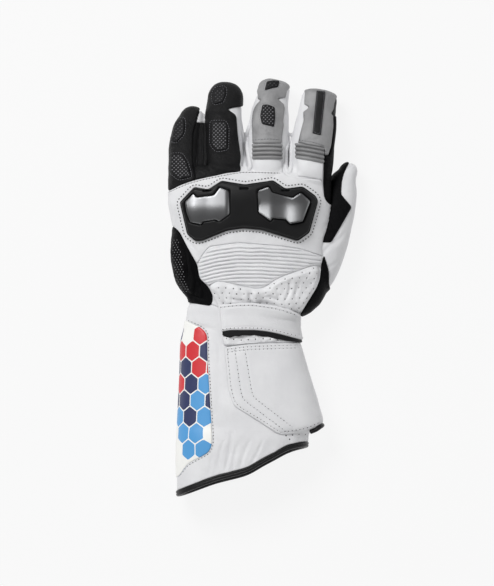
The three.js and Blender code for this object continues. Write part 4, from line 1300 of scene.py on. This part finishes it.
wristPanel = panel("wrist_panel", wristOutline, "white", ["body", "thumb"], floor=12, lip=1.0,
                   inset=0.05, edge=0.9, relief=wristRelief)
# dark discs in the perforations: painted shade
holeField("wrist_perforations", wristHoles, wristPanel, holes["radius"], "white_leather")

# The side panel is rough beyond a line that leans
sideRough = {"x": (-54, -60), "lean": 0.12, "leanFrom": 20}


def sideRelief(rows, distance):
    rough = softStep(*sideRough["x"], rows[:, 0] + sideRough["lean"] * (rows[:, 1] - sideRough["leanFrom"]))
    return softRelief("side", "side", 3.2)(rows, distance) + rough * lumpy(rows, lumps["sideRough"])


# The side panels below take the darker copy of the black leather, which is painted shade
sidePanel = panel("outer_side_panel", seams["ulnar"] + [(-52, -12.8), (-60, -11.6), (-84, -11.6)], "side",
                  ["body"], relief=sideRelief)
meshFlecks = {"outline": [(-69.4, 38), (-65, 38), (-61.6, 24), (-59.6, 8), (-56, -3), (-60, -6), (-66, 4),
                          (-69.8, 22)], "margin": 0.2, "across": 2.3, "down": 1.9}
holeField("side_mesh", holeLattice(**meshFlecks), sidePanel, 0.4, "black_leather", "fleck")

radialOutline = seams["radial"] + [(29.4, -21.4), (30.2, -25.4), (50, -20), (56, -9), (51.9, 1),
                                   (51.7, 11.4), (47.2, 25.2)]
panel("thumb_side_strip", radialOutline, "side", ["body", "thumb"], relief=softRelief("radial"))

indexSideOutline = [(55.2, 131.5), (54.9, 118), (54.2, 108.2), (51.6, 100.6), (47.9, 100.6), (47.2, 80),
                    (48.6, 67.6), (52.2, 63), (66, 63), (66, 131.5)]
panel("index_side_strip", indexSideOutline, "side", ["body", "index"], floor=18, radius=1.5,
      relief=softRelief("indexSide"))

thumbWebOutline = [(67.6, 99), (62.9, 89.8), (60.9, 81), (60.3, 71.6), (69.6, 61.4), (53, 34), (40, 34),
                   (40, 99)]
panel("thumb_web", thumbWebOutline, "side", ["thumb"], floor=8, radius=2.0, relief=softRelief("web"))
print("panels of the hand")

# Backs of the fingers
pinkyOutline = seams["knuckle"][:4] + [(-53.4, 100), (-53, 118), (-50.8, 127.2), (-49.6, 132),
                                       (-47.8, 137.4), (-44, 142), (-44, 150), (-90, 150)]
pinkyBack = panel("pinky_back", pinkyOutline, "black", ["body", "pinky"], floor=2, over=("pinky", 2),
                  relief=softRelief("pinky", "pinky", 1.8))

ringOutline = seams["knuckle"][3:] + [(-15.6, 100), (-18.2, 118), (-19.2, 130.6), (-20.4, 133),
                                      (-26.4, 137), (-20.4, 138.2), (-14, 138.6), (-8, 142), (-8, 172),
                                      (-60, 172), (-46.4, 128), (-48, 104), (-52.6, 96)]
ringBack = panel("ring_back", ringOutline, "black", ["body", "ring"], floor=2, over=("ring", 2),
                 radius=1.6, relief=softRelief("ring", "ring", 1.8))

middleOutline = [(-8.6, 110.2), (-9.3, 128), (-8.6, 134.6), (-7.2, 138), (-5.4, 141), (-1.9, 144.2),
                 (-4.7, 144.8), (-4.6, 148), (-5.8, 151.5), (-14, 156), (-14, 172), (30, 172), (24, 156),
                 (19.6, 150.4), (18.6, 145.6), (12.2, 144.9), (17.1, 140.9), (17.9, 137.8), (16.6, 127.7),
                 (17.1, 124.6), (15.7, 115.3), (15.4, 110.2), (4, 110.2)]
indexOutline = [(26.4, 110.8), (28.9, 121), (30.9, 128.2), (30.4, 134.8), (35.6, 138.8), (31.2, 140.6),
                (31.6, 150.4), (28, 166), (64, 166), (60, 150), (57.4, 144.6), (56.2, 141.5), (55.4, 136.4),
                (53.4, 133.4), (55.2, 131.6), (55.5, 124), (54.1, 112.4), (53.4, 107.5), (51.2, 101.2),
                (48.0, 101.2), (47.6, 106.9), (38, 108.7)]
fingerBacks = {"pinky": pinkyBack, "ring": ringBack}
for name, outline in (("middle", middleOutline), ("index", indexOutline)):
    fingerBacks[name] = panel(name + "_back", outline, "silver", [name], floor=2, over=(name, 2),
                              radius=0.9, relief=softRelief("silver", name))

# Accordion ribs over the finger joints
fingerRibs = {
    "middle": {"left": -8.2, "right": 15.4, "top": 110, "slant": 0.0},
    "index": {"left": 24.9, "right": 47.4, "top": 110.9, "slant": 0.18},
}
fingerRibSize = {"count": 4, "pitch": 3.1, "rise": 2.6, "ground": 0.8, "power": 0.55, "bow": 0.004,
                 "levels": (0.0, 0.08, 0.25, 0.5, 0.75, 0.92)}
for name, place in fingerRibs.items():
    fall = place["slant"] * (place["right"] - place["left"])
    depth = fingerRibSize["count"] * fingerRibSize["pitch"]
    outline = [(place["left"], place["top"]), (place["right"], place["top"] - fall),
               (place["right"], place["top"] - fall - depth), (place["left"], place["top"] - depth)]

    def fingerRibPhase(rows, place=place):
        bow = fingerRibSize["bow"] * (rows[:, 0] - (place["left"] + place["right"]) / 2) ** 2
        edge = place["top"] - place["slant"] * (rows[:, 0] - place["left"]) - bow
        return (edge - rows[:, 1]) / fingerRibSize["pitch"]

    def fingerRibRelief(rows, distance, phase=fingerRibPhase):
        tube = np.abs(np.sin(np.pi * phase(rows))) ** fingerRibSize["power"]
        return -fingerRibSize["ground"] + fingerRibSize["rise"] * tube

    panel(name + "_ribs", outline, "silver", ["body", name], floor=20, radius=0.8, edge=0.7, pillow=0.1,
          relief=fingerRibRelief,
          levels=[(fingerRibPhase, number + part) for number in range(fingerRibSize["count"])
                  for part in fingerRibSize["levels"]])

baseOutlines = {
    "middle": [(-8.2, 98.6), (15.6, 98.6), (15.6, 87), (-8.2, 87.8)],
    "index": [(24.9, 99.4), (47.2, 95.4), (46.8, 81), (26.8, 85.2)],
}
for name, outline in baseOutlines.items():
    panel(name + "_base", outline, "white", ["body", name], floor=20, radius=1.2, high=1.4, lip=0.5,
          relief=softRelief("base"))

# Perforated pads on the fingers
padOutlines = {
    "pinky_pad_upper": [(-67, 128), (-60.4, 130), (-59.8, 123.7), (-60.6, 117.3), (-66.6, 111),
                        (-70.4, 112.4)],
    "pinky_pad_lower": [(-70.6, 102), (-61.8, 102), (-57.9, 95.6), (-54.7, 84.6), (-64, 82.6), (-71, 88)],
    "ring_pad_upper": [(-36.9, 152.4), (-28.6, 154), (-28.2, 148), (-30.5, 142.2), (-37.5, 140.3),
                       (-38.4, 147)],
    "ring_pad_lower": [(-39.6, 127), (-28.6, 127), (-26.6, 122.4), (-26.9, 105.8), (-35.6, 104.4),
                       (-39.8, 109.6)],
    "middle_pad_upper": [(3.0, 158.3), (8, 159.2), (13.2, 159.0), (12.2, 153.6), (8, 153.2), (1.3, 151.2)],
    "middle_pad_lower": [(-0.4, 140.2), (4.1, 140.5), (9.5, 138.3), (9.9, 130.5), (8.9, 122.8),
                         (-0.9, 125.3), (-2.2, 131.6)],
}
padHoles = {"across": 2.5, "down": 1.45, "outer": 0.525, "inner": 0.252, "depth": 0.3,
            "border": (0.9, 1.3), "upperShade": 0.35, "lowerShade": 1.0}


# 1 at the middle of each small hole, 0 between them and along the border
def padPits(rows, distance):
    row = rows[:, 1] / padHoles["down"]
    odd = np.mod(np.floor(row + 0.5), 2)
    x = rows[:, 0] / padHoles["across"] + odd * 0.5
    dx = (x - np.floor(x + 0.5)) * padHoles["across"]
    dy = (row - np.floor(row + 0.5)) * padHoles["down"]
    return (softStep(padHoles["outer"], padHoles["inner"], np.hypot(dx, dy))
            * softStep(*padHoles["border"], distance))


for name, outline in padOutlines.items():
    shade = padHoles["upperShade"] if "upper" in name else padHoles["lowerShade"]
    finger = name.split("_")[0]
    panel(name, outline, "pad", [finger, "body"], floor=2, over=(finger, 0), low=layers["trimLow"] - 0.1,
          high=layers["trimLow"] + 0.9, radius=1.4, edge=0.8, fineness=2, pillow=0.2, pillowWidth=2,
          lift=2.6, relief=lambda rows, d: -padHoles["depth"] * padPits(rows, d),
          attributes={"pit": lambda rows, d: shade * padPits(rows, d)})

patchOutline = [(41.4, 151.1), (48.4, 150.4), (44.8, 116.2), (38.1, 118.0)]
indexPatch = panel("index_patch", patchOutline, "binding", ["index"], slot="black_mesh", floor=2,
                   over=("index", 0), low=layers["trimLow"] - 0.1, high=layers["trimLow"] + 0.8,
                   radius=0.8, edge=0.6, pillow=0, lift=2.4)
print("fingers")

# Knuckle guard and its metal inserts
guard = {
    "outline": [(-64.1, 65.3), (-52.8, 77.2), (-42, 75.3), (-31.6, 82.2), (-13.6, 79.1), (8.3, 82.5),
                (17.7, 75.9), (31, 77.6), (41.1, 70.5), (43.5, 66), (36.6, 41.2), (27.4, 34.7),
                (-1.2, 43.3), (-14.9, 44.5), (-27, 42.8), (-46.7, 35), (-51.9, 34.7), (-58.6, 40),
                (-63.9, 62.6)],
    "round": 2.0, "plate": 2.6, "crown": 2.2, "shoulder": (0.9, 2.9), "lift": 5.0,
    "pocket": 3.2, "pocketWider": 0.35, "pocketWall": (-0.05, 0.2), "rim": 0.7, "rimWall": (-1.0, -0.1),
    "slot": 2.4, "slotWall": (1.0, 0.7), "swell": 0.5, "swellX": -13, "swellWidth": 14,
    "swellBorder": (1, 6),
    "borderLevels": (1.1, 1.7, 2.3, 3.0), "pocketLevels": (-1.0, -0.5, -0.06, 0.2),
    "slotLevels": (0.7, 1.0),
}
inserts = {
    "guard_insert_left": [(-59.6, 65.1), (-53.1, 71.6), (-50.4, 68.6), (-37.3, 70.3), (-33, 76.3),
                          (-25.3, 73.8), (-25.3, 55.7), (-33.4, 50.1), (-36, 51.8), (-45.9, 50.1),
                          (-46.7, 47.8), (-55.3, 49.7), (-58.3, 57.4)],
    "guard_insert_right": [(-4.2, 73.8), (4.9, 76.8), (7, 72.5), (22.9, 68.1), (29.3, 72.1),
                           (36.7, 65.6), (30.6, 50.1), (20.7, 48.2), (17.7, 51.8), (7.4, 52.7),
                           (6.2, 50.3), (-3.3, 57)],
}
insertShapes = {name: rounded(outline, 1.2) for name, outline in inserts.items()}
slots = [((-45.2, 73.5), (-39.8, 73.7)), ((-16.8, 75.1), (-11.4, 75.1)), ((14.8, 73.6), (20.0, 73.8))]
guardShape = rounded(guard["outline"], guard["round"])


def borderDistance(rows):
    return insideDistance(lifted(rows, guard["lift"]), guardShape)


def pocketDistance(rows):
    top = lifted(rows, guard["lift"])
    return np.maximum(*[insideDistance(top, shape) for shape in insertShapes.values()]) + guard["pocketWider"]


def slotDistance(rows):
    top = lifted(rows, guard["lift"])
    return np.minimum.reduce([routeDistance(top, np.array(ends, float)) for ends in slots])


# A crowned plate with a swell in its middle. The inserts' pockets have a low rim, and the slots are deep.
def guardRelief(rows, distance):
    rise = guard["crown"] * softStep(*guard["shoulder"], distance)
    pocket = pocketDistance(rows)
    start, end = guard["pocketWall"]
    rise -= guard["rim"] * softStep(*guard["rimWall"], pocket)
    rise = np.where(pocket > start, rise - guard["pocket"] * softStep(start, end, pocket), rise)
    rise -= guard["slot"] * softStep(*guard["slotWall"], slotDistance(rows))
    swell = guard["swell"] * np.exp(-((rows[:, 0] - guard["swellX"]) / guard["swellWidth"]) ** 2)
    return rise + swell * softStep(*guard["swellBorder"], distance)


panel("knuckle_guard", guard["outline"], "plastic", knuckles, low=layers["trimLow"] - 0.1,
      high=layers["trimLow"] + guard["plate"], radius=guard["round"], edge=0.6, pillow=0,
      relief=guardRelief, lift=guard["lift"],
      levels=[(field, level) for field, name in ((borderDistance, "borderLevels"),
                                                 (pocketDistance, "pocketLevels"),
                                                 (slotDistance, "slotLevels")) for level in guard[name]])

# A metal plate is smooth by itself. Its form is given as slopes along x and along y, and a
# bevel runs round its border. The left plate is domed and the right one is a dish of two lobes.
# Over a smooth surface through the hand below it, its mean height is "top", its least "lowest".
plateForm = {"pitch": 0.45, "bevel": 1.2, "bevelSlope": 0.16, "border": 0.25, "borderFall": 0.5,
             "lowest": 4.4, "under": 3.0, "fitWider": 3, "fitAbove": 20, "slopeSteps": 400}
plates = {
    "guard_insert_left": {
        "top": 6.8,
        "slopesX": [(-62, 0.4), (-56.5, 0.36), (-50, 0.14), (-45, 0.1), (-40, 0.15), (-34, 0.12),
                    (-29.5, 0.1), (-26, -0.3)],
        "slopesY": [(46, 0.1), (53, 0.06), (58, -0.03), (64.5, -0.2), (78, -0.21)]},
    "guard_insert_right": {
        "top": 7.4,
        "slopesX": [(-6, 0.16), (-1, 0.15), (4, 0.13), (9, -0.08), (14, -0.04), (21, 0.15), (27, 0.04),
                    (38, -0.28)],
        "slopesY": [(46, -0.18), (56, -0.21), (61, -0.17), (67, -0.02), (78, 0.02)]},
}


# The quadratic surface nearest to the hand under an outline, as its terms and their weights
def fittedSurface(outline):
    near = glove[(insideDistance(glove, outline) > -plateForm["fitWider"])
                 & (glove[:, 2] > plateForm["fitAbove"])]
    terms = lambda x, y: np.stack([np.ones(len(x)), x, y, x * x, x * y, y * y], axis=1)
    return terms, np.linalg.lstsq(terms(near[:, 0], near[:, 1]), near[:, 2], rcond=None)[0]


def heightFromSlopes(slopes, wanted):
    places, values = np.array(slopes, float).T
    fine = np.linspace(places[0], places[-1], plateForm["slopeSteps"])
    slope = smoothColumn(places, values, fine)
    rise = np.concatenate([[0], np.cumsum((slope[1:] + slope[:-1]) / 2 * np.diff(fine))])
    return np.interp(wanted, fine, rise)


def metalPlate(name, shape):
    terms, weights = fittedSurface(shape)
    low, high = shape.min(axis=0) - 1, shape.max(axis=0) + 1
    x, y = np.meshgrid(np.arange(low[0], high[0], plateForm["pitch"]),
                       np.arange(low[1], high[1], plateForm["pitch"]))
    table = np.zeros((x.size, 6))
    table[:, 0], table[:, 1] = x.reshape(-1), y.reshape(-1)
    faces = gridFaces(*x.shape)
    plate, bevel, border = plates[name], plateForm["bevel"], plateForm["border"]
    for level in (border, bevel):
        table, faces, _ = cutAlong(table, faces, insideDistance(table, shape) - level)
    table, faces, _ = keepInside(table, faces, insideDistance(table, shape))
    distance = np.maximum(insideDistance(table, shape), 0)
    ground = terms(table[:, 0], table[:, 1]) @ weights
    form = heightFromSlopes(plate["slopesX"], table[:, 0]) + heightFromSlopes(plate["slopesY"], table[:, 1])
    form += ground.mean() + plate["top"] - form.mean()
    form = np.maximum(form, ground + plateForm["lowest"])
    print(name, "over the hand:", (form - ground).min().round(2), (form - ground).max().round(2))
    form -= plateForm["bevelSlope"] * np.maximum(bevel - distance, 0)
    form -= plateForm["borderFall"] * (1 - rolled(distance, border))
    top = np.stack([table[:, 0], table[:, 1], form], axis=1)
    under = np.stack([table[:, 0], table[:, 1], ground + plateForm["under"]], axis=1)
    settle(newObject(name + "_plate", *closedWall(faces, top, under), "metal"), "satin_metal", name)


for name, shape in insertShapes.items():
    metalPlate(name, shape)
print("knuckle guard")

# Wrist strap, its tape, and the flap of the cuff
tapeOutline = [(-31, -20), (-9.6, -16), (10, -18), (27, -24), (40, -30), (40, -43.5), (28.9, -42.4),
               (25, -41.8), (19, -41.4), (13.5, -40.2), (9, -39.6), (3.9, -38.2), (-1, -37.8), (-5.8, -36.9),
               (-10, -37.3), (-15.4, -37.0), (-18, -38.0), (-21, -37.6), (-25, -39.0), (-28, -38.2),
               (-31.0, -37.2)]
panel("strap_tape", tapeOutline, "pad", ["body"], slot="black_binding", floor=12, low=layers["trimLow"],
      high=layers["trimLow"] + 1.4, edge=0.6, pillow=0, radius=0.8, lift=3.2)
strapOutline = [(-33.1, -14.6), (-31.6, -13.4), (-20, -12.4), (-8, -12), (10, -14.4), (20, -17.0),
                (28.4, -21.2), (30.1, -22.8), (30.1, -29), (44, -34), (44, -43.0), (28.6, -39.7),
                (13.5, -36), (3.9, -34.1), (-5.8, -33.1), (-25, -33.1), (-31.6, -34.3)]
strapGroove = {"depth": 0.35, "from": 2.2, "width": 0.6}  # pressed in by its stitches


def strapRelief(rows, distance):
    groove = np.exp(-((distance - strapGroove["from"]) / strapGroove["width"]) ** 2)
    return lumpy(rows, lumps["strap"]) - strapGroove["depth"] * groove


wristStrap = panel("wrist_strap", strapOutline, "white", ["body", "thumb"], floor=7, low=3.3, high=5.1,
                   radius=1.6, pillow=0.25, lift=4.6, pillowWidth=2.5, relief=strapRelief)
flapOutline = seams["flapEdge"] + [(23, -113.2), (34, -110), (41, -107.4), (47.4, -104.4), (53, -102),
                                   (53, -42.2), (29, -42.2), (-12, -43.6)]
flapLines = [
    [(-29.6, -48.2), (-12, -45.8), (29, -44.4), (40, -44.4)],
    [(-29.4, -50.4), (-12, -48), (29, -46.6), (40, -46.6)],
    [(-21.2, -48.5), (-15.8, -85.5), (20, -112.4)],
    [(-13.5, -48.5), (-7.7, -84), (23.5, -107.8)],
    [(-27.0, -48.5), (-25.3, -66), (-24.0, -78.6), (-20.6, -90), (-3, -100.6), (14, -111.4)],
    [(14, -111.4), (33, -108.6), (40, -105.6), (48, -102.2)],
]
flapGroove = {"depth": 0.28, "width": 0.55}


def lineRoute(line, radius=5):
    return rounded(line, radius, closed=False)


def flapRelief(rows, distance):
    total = lumpy(rows, lumps["flap"])
    for line in flapLines:
        away = routeDistance(rows, lineRoute(line)) / flapGroove["width"]
        total = total - flapGroove["depth"] * np.exp(-away**2)
    return total


cuffFlap = panel("cuff_flap", flapOutline, "white", ["body"], floor=7, high=layers["skinHigh"] + 0.5,
                 relief=flapRelief)

# The printed panel: a honeycomb of colours
printOutline = [(-78, -19), (-60.4, -25.4), (-47, -31.4), (-42.8, -36), (-42.4, -57), (-38.7, -116),
                (-39.4, -123), (-42.4, -127.4), (-57.8, -135.6), (-66, -146), (-78, -150)]
inks = {"r": (0.62, 0.028, 0.036), "n": (0.030, 0.040, 0.115), "b": (0.088, 0.33, 0.66),
        "w": (0.87, 0.87, 0.84)}
comb = {"size": 8.4, "gap": 0.55, "left": -103.1, "top": -24.0, "turn": 0.8, "brow": 41,
        "rows": ["wwwwwwr", "rnwrwwn", "nbrrnrw", "bnnrrnr", "nbrnbnr", "bnnbnbr", "nbbnbnn", "bwbbwbn",
                 "wwwbbwb", "wwwwbww", "wwwwwww"]}


# Across the cuff and, under the brow of its side, down that side, so that the cells keep their size
def combPlace(points):
    return (points[:, 0] - comb["turn"] * np.maximum(comb["brow"] - points[:, 2], 0) - comb["left"],
            points[:, 1] - comb["top"])


def combCells():
    cells = []
    for row, letters in enumerate(comb["rows"]):
        for column, letter in enumerate(letters):
            x = (column + 0.5 * (row % 2)) * comb["size"] * math.sqrt(3)
            y = -row * comb["size"] * 1.5
            cells.append((x, y, letter))
    return cells


# Distance inside a cell of the comb, less the gap round it
def cellDistance(place, x, y):
    across, along = place
    size = comb["size"] - comb["gap"]
    total = np.full(len(across), np.inf)
    for turn in range(6):
        angle = math.pi / 3 * turn
        side = (across - x) * math.cos(angle) + (along - y) * math.sin(angle)
        total = np.minimum(total, size * math.sqrt(3) / 2 - side)
    return total


printLevels = [(lambda rows, x=x, y=y: cellDistance(combPlace(rows), x, y), 0.0)
               for x, y, _ in combCells()]
printPanel = panel("print_panel", printOutline, "print", ["body"], high=layers["skinHigh"] - 0.4,
                   fineness=0, levels=printLevels, relief=softRelief("print"),
                   attributes={"across": lambda rows, d: combPlace(rows)[0],
                               "along": lambda rows, d: combPlace(rows)[1]})


def paintComb(piece):
    mesh = piece.data
    corners = np.empty(len(mesh.loops), int)
    mesh.loops.foreach_get("vertex_index", corners)
    totals = np.empty(len(mesh.polygons), int)
    mesh.polygons.foreach_get("loop_total", totals)
    starts = np.concatenate([[0], np.cumsum(totals)[:-1]])
    place = []
    for name in ("across", "along"):
        values = np.empty(len(mesh.vertices))
        mesh.attributes[name].data.foreach_get("value", values)
        place.append(np.add.reduceat(values[corners], starts) / totals)
    colours = np.tile(np.array(inks["w"] + (1,), float), (len(totals), 1))
    for x, y, letter in combCells():
        colours[cellDistance(place, x, y) > 0, :3] = inks[letter]
    paint = mesh.color_attributes.new("print", "FLOAT_COLOR", "CORNER")
    paint.data.foreach_set("color", np.repeat(colours, totals, axis=0).reshape(-1))


paintComb(printPanel)
print("strap, flap and print")


# The rolled binding round the mouth of the cuff: two cords side by side, "down" from the mouth's
# border and "out" from the leather
hemCords = {"upper": {"radius": 1.2, "down": 0.8, "out": -0.2},
            "lower": {"radius": 1.6, "down": 2.6, "out": -0.8}}
mouthForm = {"within": 0.4, "pitch": 2.2, "smoothing": 6}


# Even places and normals along the border of the cuff at its mouth
def mouthLoop():
    rim = np.abs(hemDistance(cuffTable)) < mouthForm["within"]
    border = borderOf(cuffFaces, len(cuffTable))
    border = border[rim[border].all(axis=1)]
    ahead = dict(border.tolist())
    first = border[0, 0]
    order = [first]
    while ahead.get(order[-1], first) != first:
        order.append(ahead[order[-1]])
    rows = cuffTable[order + [first], :6]
    reach = np.concatenate([[0], np.cumsum(np.linalg.norm(np.diff(rows[:, :3], axis=0), axis=1))])
    even = sampled(rows, reach, np.linspace(0, reach[-1], int(reach[-1] / mouthForm["pitch"]) + 1)[:-1])
    for step in range(mouthForm["smoothing"]):
        even = (np.roll(even, 1, axis=0) + 2 * even + np.roll(even, -1, axis=0)) / 4
    return even[:, :3], even[:, 3:6] / np.linalg.norm(even[:, 3:6], axis=1)[:, None]


mouth, mouthNormals = mouthLoop()
for name, cord in hemCords.items():
    points = mouth + mouthNormals * cord["out"]
    points[:, 1] -= cord["down"]
    points[:, 2] = np.maximum(points[:, 2], cord["radius"] + layers["ground"])
    piping("hem_cord_" + name, points, cord["radius"], "binding", ["hem_binding"], closed=True)

flapPiping = {"route": [(36.2, -109.9), (39.4, -108.8), (42.6, -107.1), (45.4, -105.4)], "pitch": 1.0,
              "lift": 1.4, "radius": 1.8}
piping("flap_piping", routeOn([cuffFlap, cuff], lineRoute(flapPiping["route"], 4), flapPiping["pitch"],
                              flapPiping["lift"]),
       flapPiping["radius"], "binding", ["flap_piping"])
cuffHoles = {"outline": [(14, -112.8), (34, -109.6), (36, -113.6), (20, -118.6)], "margin": 0.6,
             "across": 5.0, "down": 3.0}
# dark discs in the perforations: painted shade
holeField("cuff_perforations", holeLattice(**cuffHoles), cuff, holes["radius"], "white_leather")

# Rolled seams of the fourchettes between the fingers. Above "free" they follow the sides of the fingers
# at the heights of "beside", [y, z], and end inside them.
fourchettes = {
    "ring_middle": {"free": 117, "beside": [(116, 20), (125, 19.2), (130, 17.6), (140, 14.5)],
                    "route": [(-21.4, 138), (-18.6, 133.5), (-17.9, 129), (-17.2, 125), (-16.4, 120),
                              (-15.7, 114), (-15.0, 104), (-14.0, 96), (-13.0, 91), (-10.9, 88.8),
                              (-9.2, 92), (-9.8, 97), (-11.0, 104), (-11.8, 112), (-11.6, 117),
                              (-10.6, 121), (-9.0, 125), (-7.7, 130), (-6.8, 135), (-5.6, 139),
                              (-2.6, 143)]},
    "middle_index": {"free": 110, "beside": [(108, 21), (121, 19.6), (130, 16.4), (138, 13.5)],
                     "route": [(15.2, 128), (17.6, 122), (18.5, 117), (19.3, 113), (18.7, 109),
                               (17.7, 104), (17.5, 94), (18.2, 89), (19.8, 87), (21.5, 89), (22.2, 94),
                               (22.3, 104), (22.7, 109), (23.3, 113), (24.4, 117), (25.8, 121),
                               (27.6, 126), (31, 131)]},
}
fourchetteForm = {"round": 1.2, "pitch": 1.0, "smoothing": 30, "radius": 1.9}
handTree = treeOf(hand)
for name, loop in fourchettes.items():
    points = []
    route = lineRoute(loop["route"], fourchetteForm["round"])
    for x, y in evenSteps(route, fourchetteForm["pitch"], False):
        spot, up = surfaceUnder(handTree, x, y)
        beside = np.interp(y, *zip(*loop["beside"]))
        points.append((x, y, beside if y > loop["free"] or spot is None else spot[2] + up[2]))
    points = np.array(points)
    for step in range(fourchetteForm["smoothing"]):
        points[1:-1, 2] = (points[:-2, 2] + 2 * points[1:-1, 2] + points[2:, 2]) / 4
    piping("fourchette_" + name, points, fourchetteForm["radius"], "white")

# Leather between the little finger and the ring finger, as rows of y, top, left and right. It sags
# between them and has small folds along it.
bridge = {"rows": [(84.4, 38.0, -57, -43.5), (92, 37.0, -57, -43), (100, 35.0, -57, -42.5),
                   (107, 32.8, -56.5, -42.5), (114, 30.2, -56, -42.5), (120, 27.8, -55, -43),
                   (126, 25.2, -54, -43)],
          "along": 90, "across": 40, "sag": 3.4, "sagPower": 0.8, "folds": 5, "fold": 0.35, "waver": 0.4,
          "waverTurn": 0.3, "thick": 1.4}
bridgeRows = np.array(bridge["rows"], float)
across = np.linspace(0, 1, bridge["across"])
grid = []
for y in np.linspace(bridgeRows[0, 0], bridgeRows[-1, 0], bridge["along"]):
    top, left, right = (smoothColumn(bridgeRows[:, 0], bridgeRows[:, column], np.array([y]))[0]
                        for column in (1, 2, 3))
    sag = bridge["sag"] * np.sin(np.pi * across) ** bridge["sagPower"]
    turns = across * np.pi * 2 * bridge["folds"] + bridge["waver"] * math.sin(y * bridge["waverTurn"])
    grid.append(np.stack([left + (right - left) * across, np.full(len(across), y),
                          top - sag + bridge["fold"] * np.sin(turns)], axis=1))
grid = np.concatenate(grid)
grid[:, 2] += lumpy(grid, lumps["bridge"])
bridgeWalls = closedWall(gridFaces(bridge["along"], bridge["across"]), grid,
                         grid - np.array([0, 0, bridge["thick"]]))
settle(newObject("finger_bridge_skin", *bridgeWalls, "black"), "black_leather", "finger_bridge")
print("binding and bridge")

# Stitching
stitches("guard_stitches", grown(guardShape, 1.5), backPanel, "blackThread", "black_binding", pitch=2.5,
         gapShare=0.5, thick=0.75, closed=True, holes=False)
for number, line in enumerate(flapLines):
    stitches("flap_stitches_%d" % (number + 1), lineRoute(line), cuffFlap, "whiteThread", "white_leather")
stitches("print_stitches", grown(rounded(printOutline, 3.0), 1.2), cuff, "whiteThread", "white_leather",
         pitch=2.6, closed=True)
strapLines = [
    [(-32, -15.6), (-20, -14.2), (-8, -13.9), (10, -16.5), (29, -22.4), (36, -25)],
    [(-30.4, -32.6), (-24, -31.4), (-6, -31.3), (4, -32.3), (13.5, -34.2), (28, -37.8)],
]
for number, line in enumerate(strapLines):
    stitches("strap_stitches_%d" % (number + 1), lineRoute(line, 6), wristStrap, "whiteThread",
             "white_leather")
knuckleLine = [(x, y - 1.5) for x, y in seams["knuckle"]] + [(-12, 87.9), (14, 87.2)]
stitches("knuckle_stitches", lineRoute(knuckleLine), backPanel, "greyThread", "white_leather", pitch=2.4)
for name, outline in padOutlines.items():
    stitches(name + "_stitches", grown(rounded(outline, 1.6), 0.9), fingerBacks[name.split("_")[0]],
             "greyThread", "black_mesh", pitch=1.9, thick=0.26, closed=True, holes=False)
silverLines = {
    "middle": [[(-8, 113.4), (-8.2, 124), (-7.2, 134)], [(-7.4, 112.6), (4, 113.6), (15.6, 112.6)]],
    "index": [[(28.4, 113), (30, 124), (32.4, 133.6)], [(28.4, 112.4), (38, 111.4), (47.4, 108.2)]],
}
for name, lines in silverLines.items():
    for number, line in enumerate(lines):
        stitches("%s_back_stitches_%d" % (name, number + 1), lineRoute(line, 3), fingerBacks[name],
                 "greyThread", "silver_leather", pitch=2.2, holeSize=0.32)
stitches("patch_stitches", grown(rounded(patchOutline, 0.8), -0.9), indexPatch, "greyThread", "black_mesh",
         pitch=1.9, thick=0.24, closed=True, holes=False)
print("stitching")

# Floor, camera and lights
photo = {"width": 494, "height": 586, "pixel": 0.77 * mm, "originX": 262.5, "originY": 287, "away": 9.0,
         "sensor": 36}
stage = {"size": 6, "under": 0.0001, "colour": (0.08, 0.08, 0.08, 1), "glow": 0.865, "world": 0.25}
bpy.ops.object.select_all(action="DESELECT")
bpy.ops.mesh.primitive_plane_add(size=stage["size"], location=(0, 0, -stage["under"]))
floor = bpy.context.view_layer.objects.active
floor.name = "floor"
floorPaint, _, floorShader = newMaterial("floorPaint", 0.1)
floorShader.inputs["Base Color"].default_value = stage["colour"]
floorShader.inputs["Roughness"].default_value = 0.9
floorShader.inputs["Emission Color"].default_value = (1, 1, 1, 1)
floorShader.inputs["Emission Strength"].default_value = stage["glow"]
floor.data.materials.append(floorPaint)

cameraData = bpy.data.cameras.new("camera")
camera = bpy.data.objects.new("camera", cameraData)
bpy.context.collection.objects.link(camera)
camera.location = ((photo["width"] / 2 - photo["originX"]) * photo["pixel"],
                   (photo["originY"] - photo["height"] / 2) * photo["pixel"], photo["away"])
cameraData.sensor_width = photo["sensor"]
cameraData.lens = photo["sensor"] * photo["away"] / (photo["height"] * photo["pixel"])
cameraData.clip_end = 20
bpy.context.scene.camera = camera

lights = {
    "key": {"at": (-1.05, 1.4, 1.9), "size": 1.1, "power": 50},
    "fill": {"at": (1.6, 0.2, 1.5), "size": 1.4, "power": 8},
    "low": {"at": (-0.7, -1.6, 1.4), "size": 1.2, "power": 9},
}
for name, values in lights.items():
    lamp = bpy.data.lights.new(name, "AREA")
    lamp.size = values["size"]
    lamp.energy = values["power"]
    light = bpy.data.objects.new(name, lamp)
    light.location = values["at"]
    light.rotation_euler = (-Vector(values["at"])).to_track_quat("-Z", "Y").to_euler()
    bpy.context.collection.objects.link(light)
world = bpy.data.worlds.new("studio")
world.use_nodes = True
background = world.node_tree.nodes["Background"]
background.inputs["Color"].default_value = (1, 1, 1, 1)
background.inputs["Strength"].default_value = stage["world"]
bpy.context.scene.world = world
bpy.context.scene.view_settings.view_transform = "Standard"

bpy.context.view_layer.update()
largePiece = 60000
total = 0
for piece in bpy.context.scene.objects:
    if piece.type == "MESH" and not piece.hide_render:
        triangles = sum(len(polygon.vertices) - 2 for polygon in piece.data.polygons)
        total += triangles
        if triangles > largePiece:
            print(piece.name, triangles)
print("triangles in all:", total)
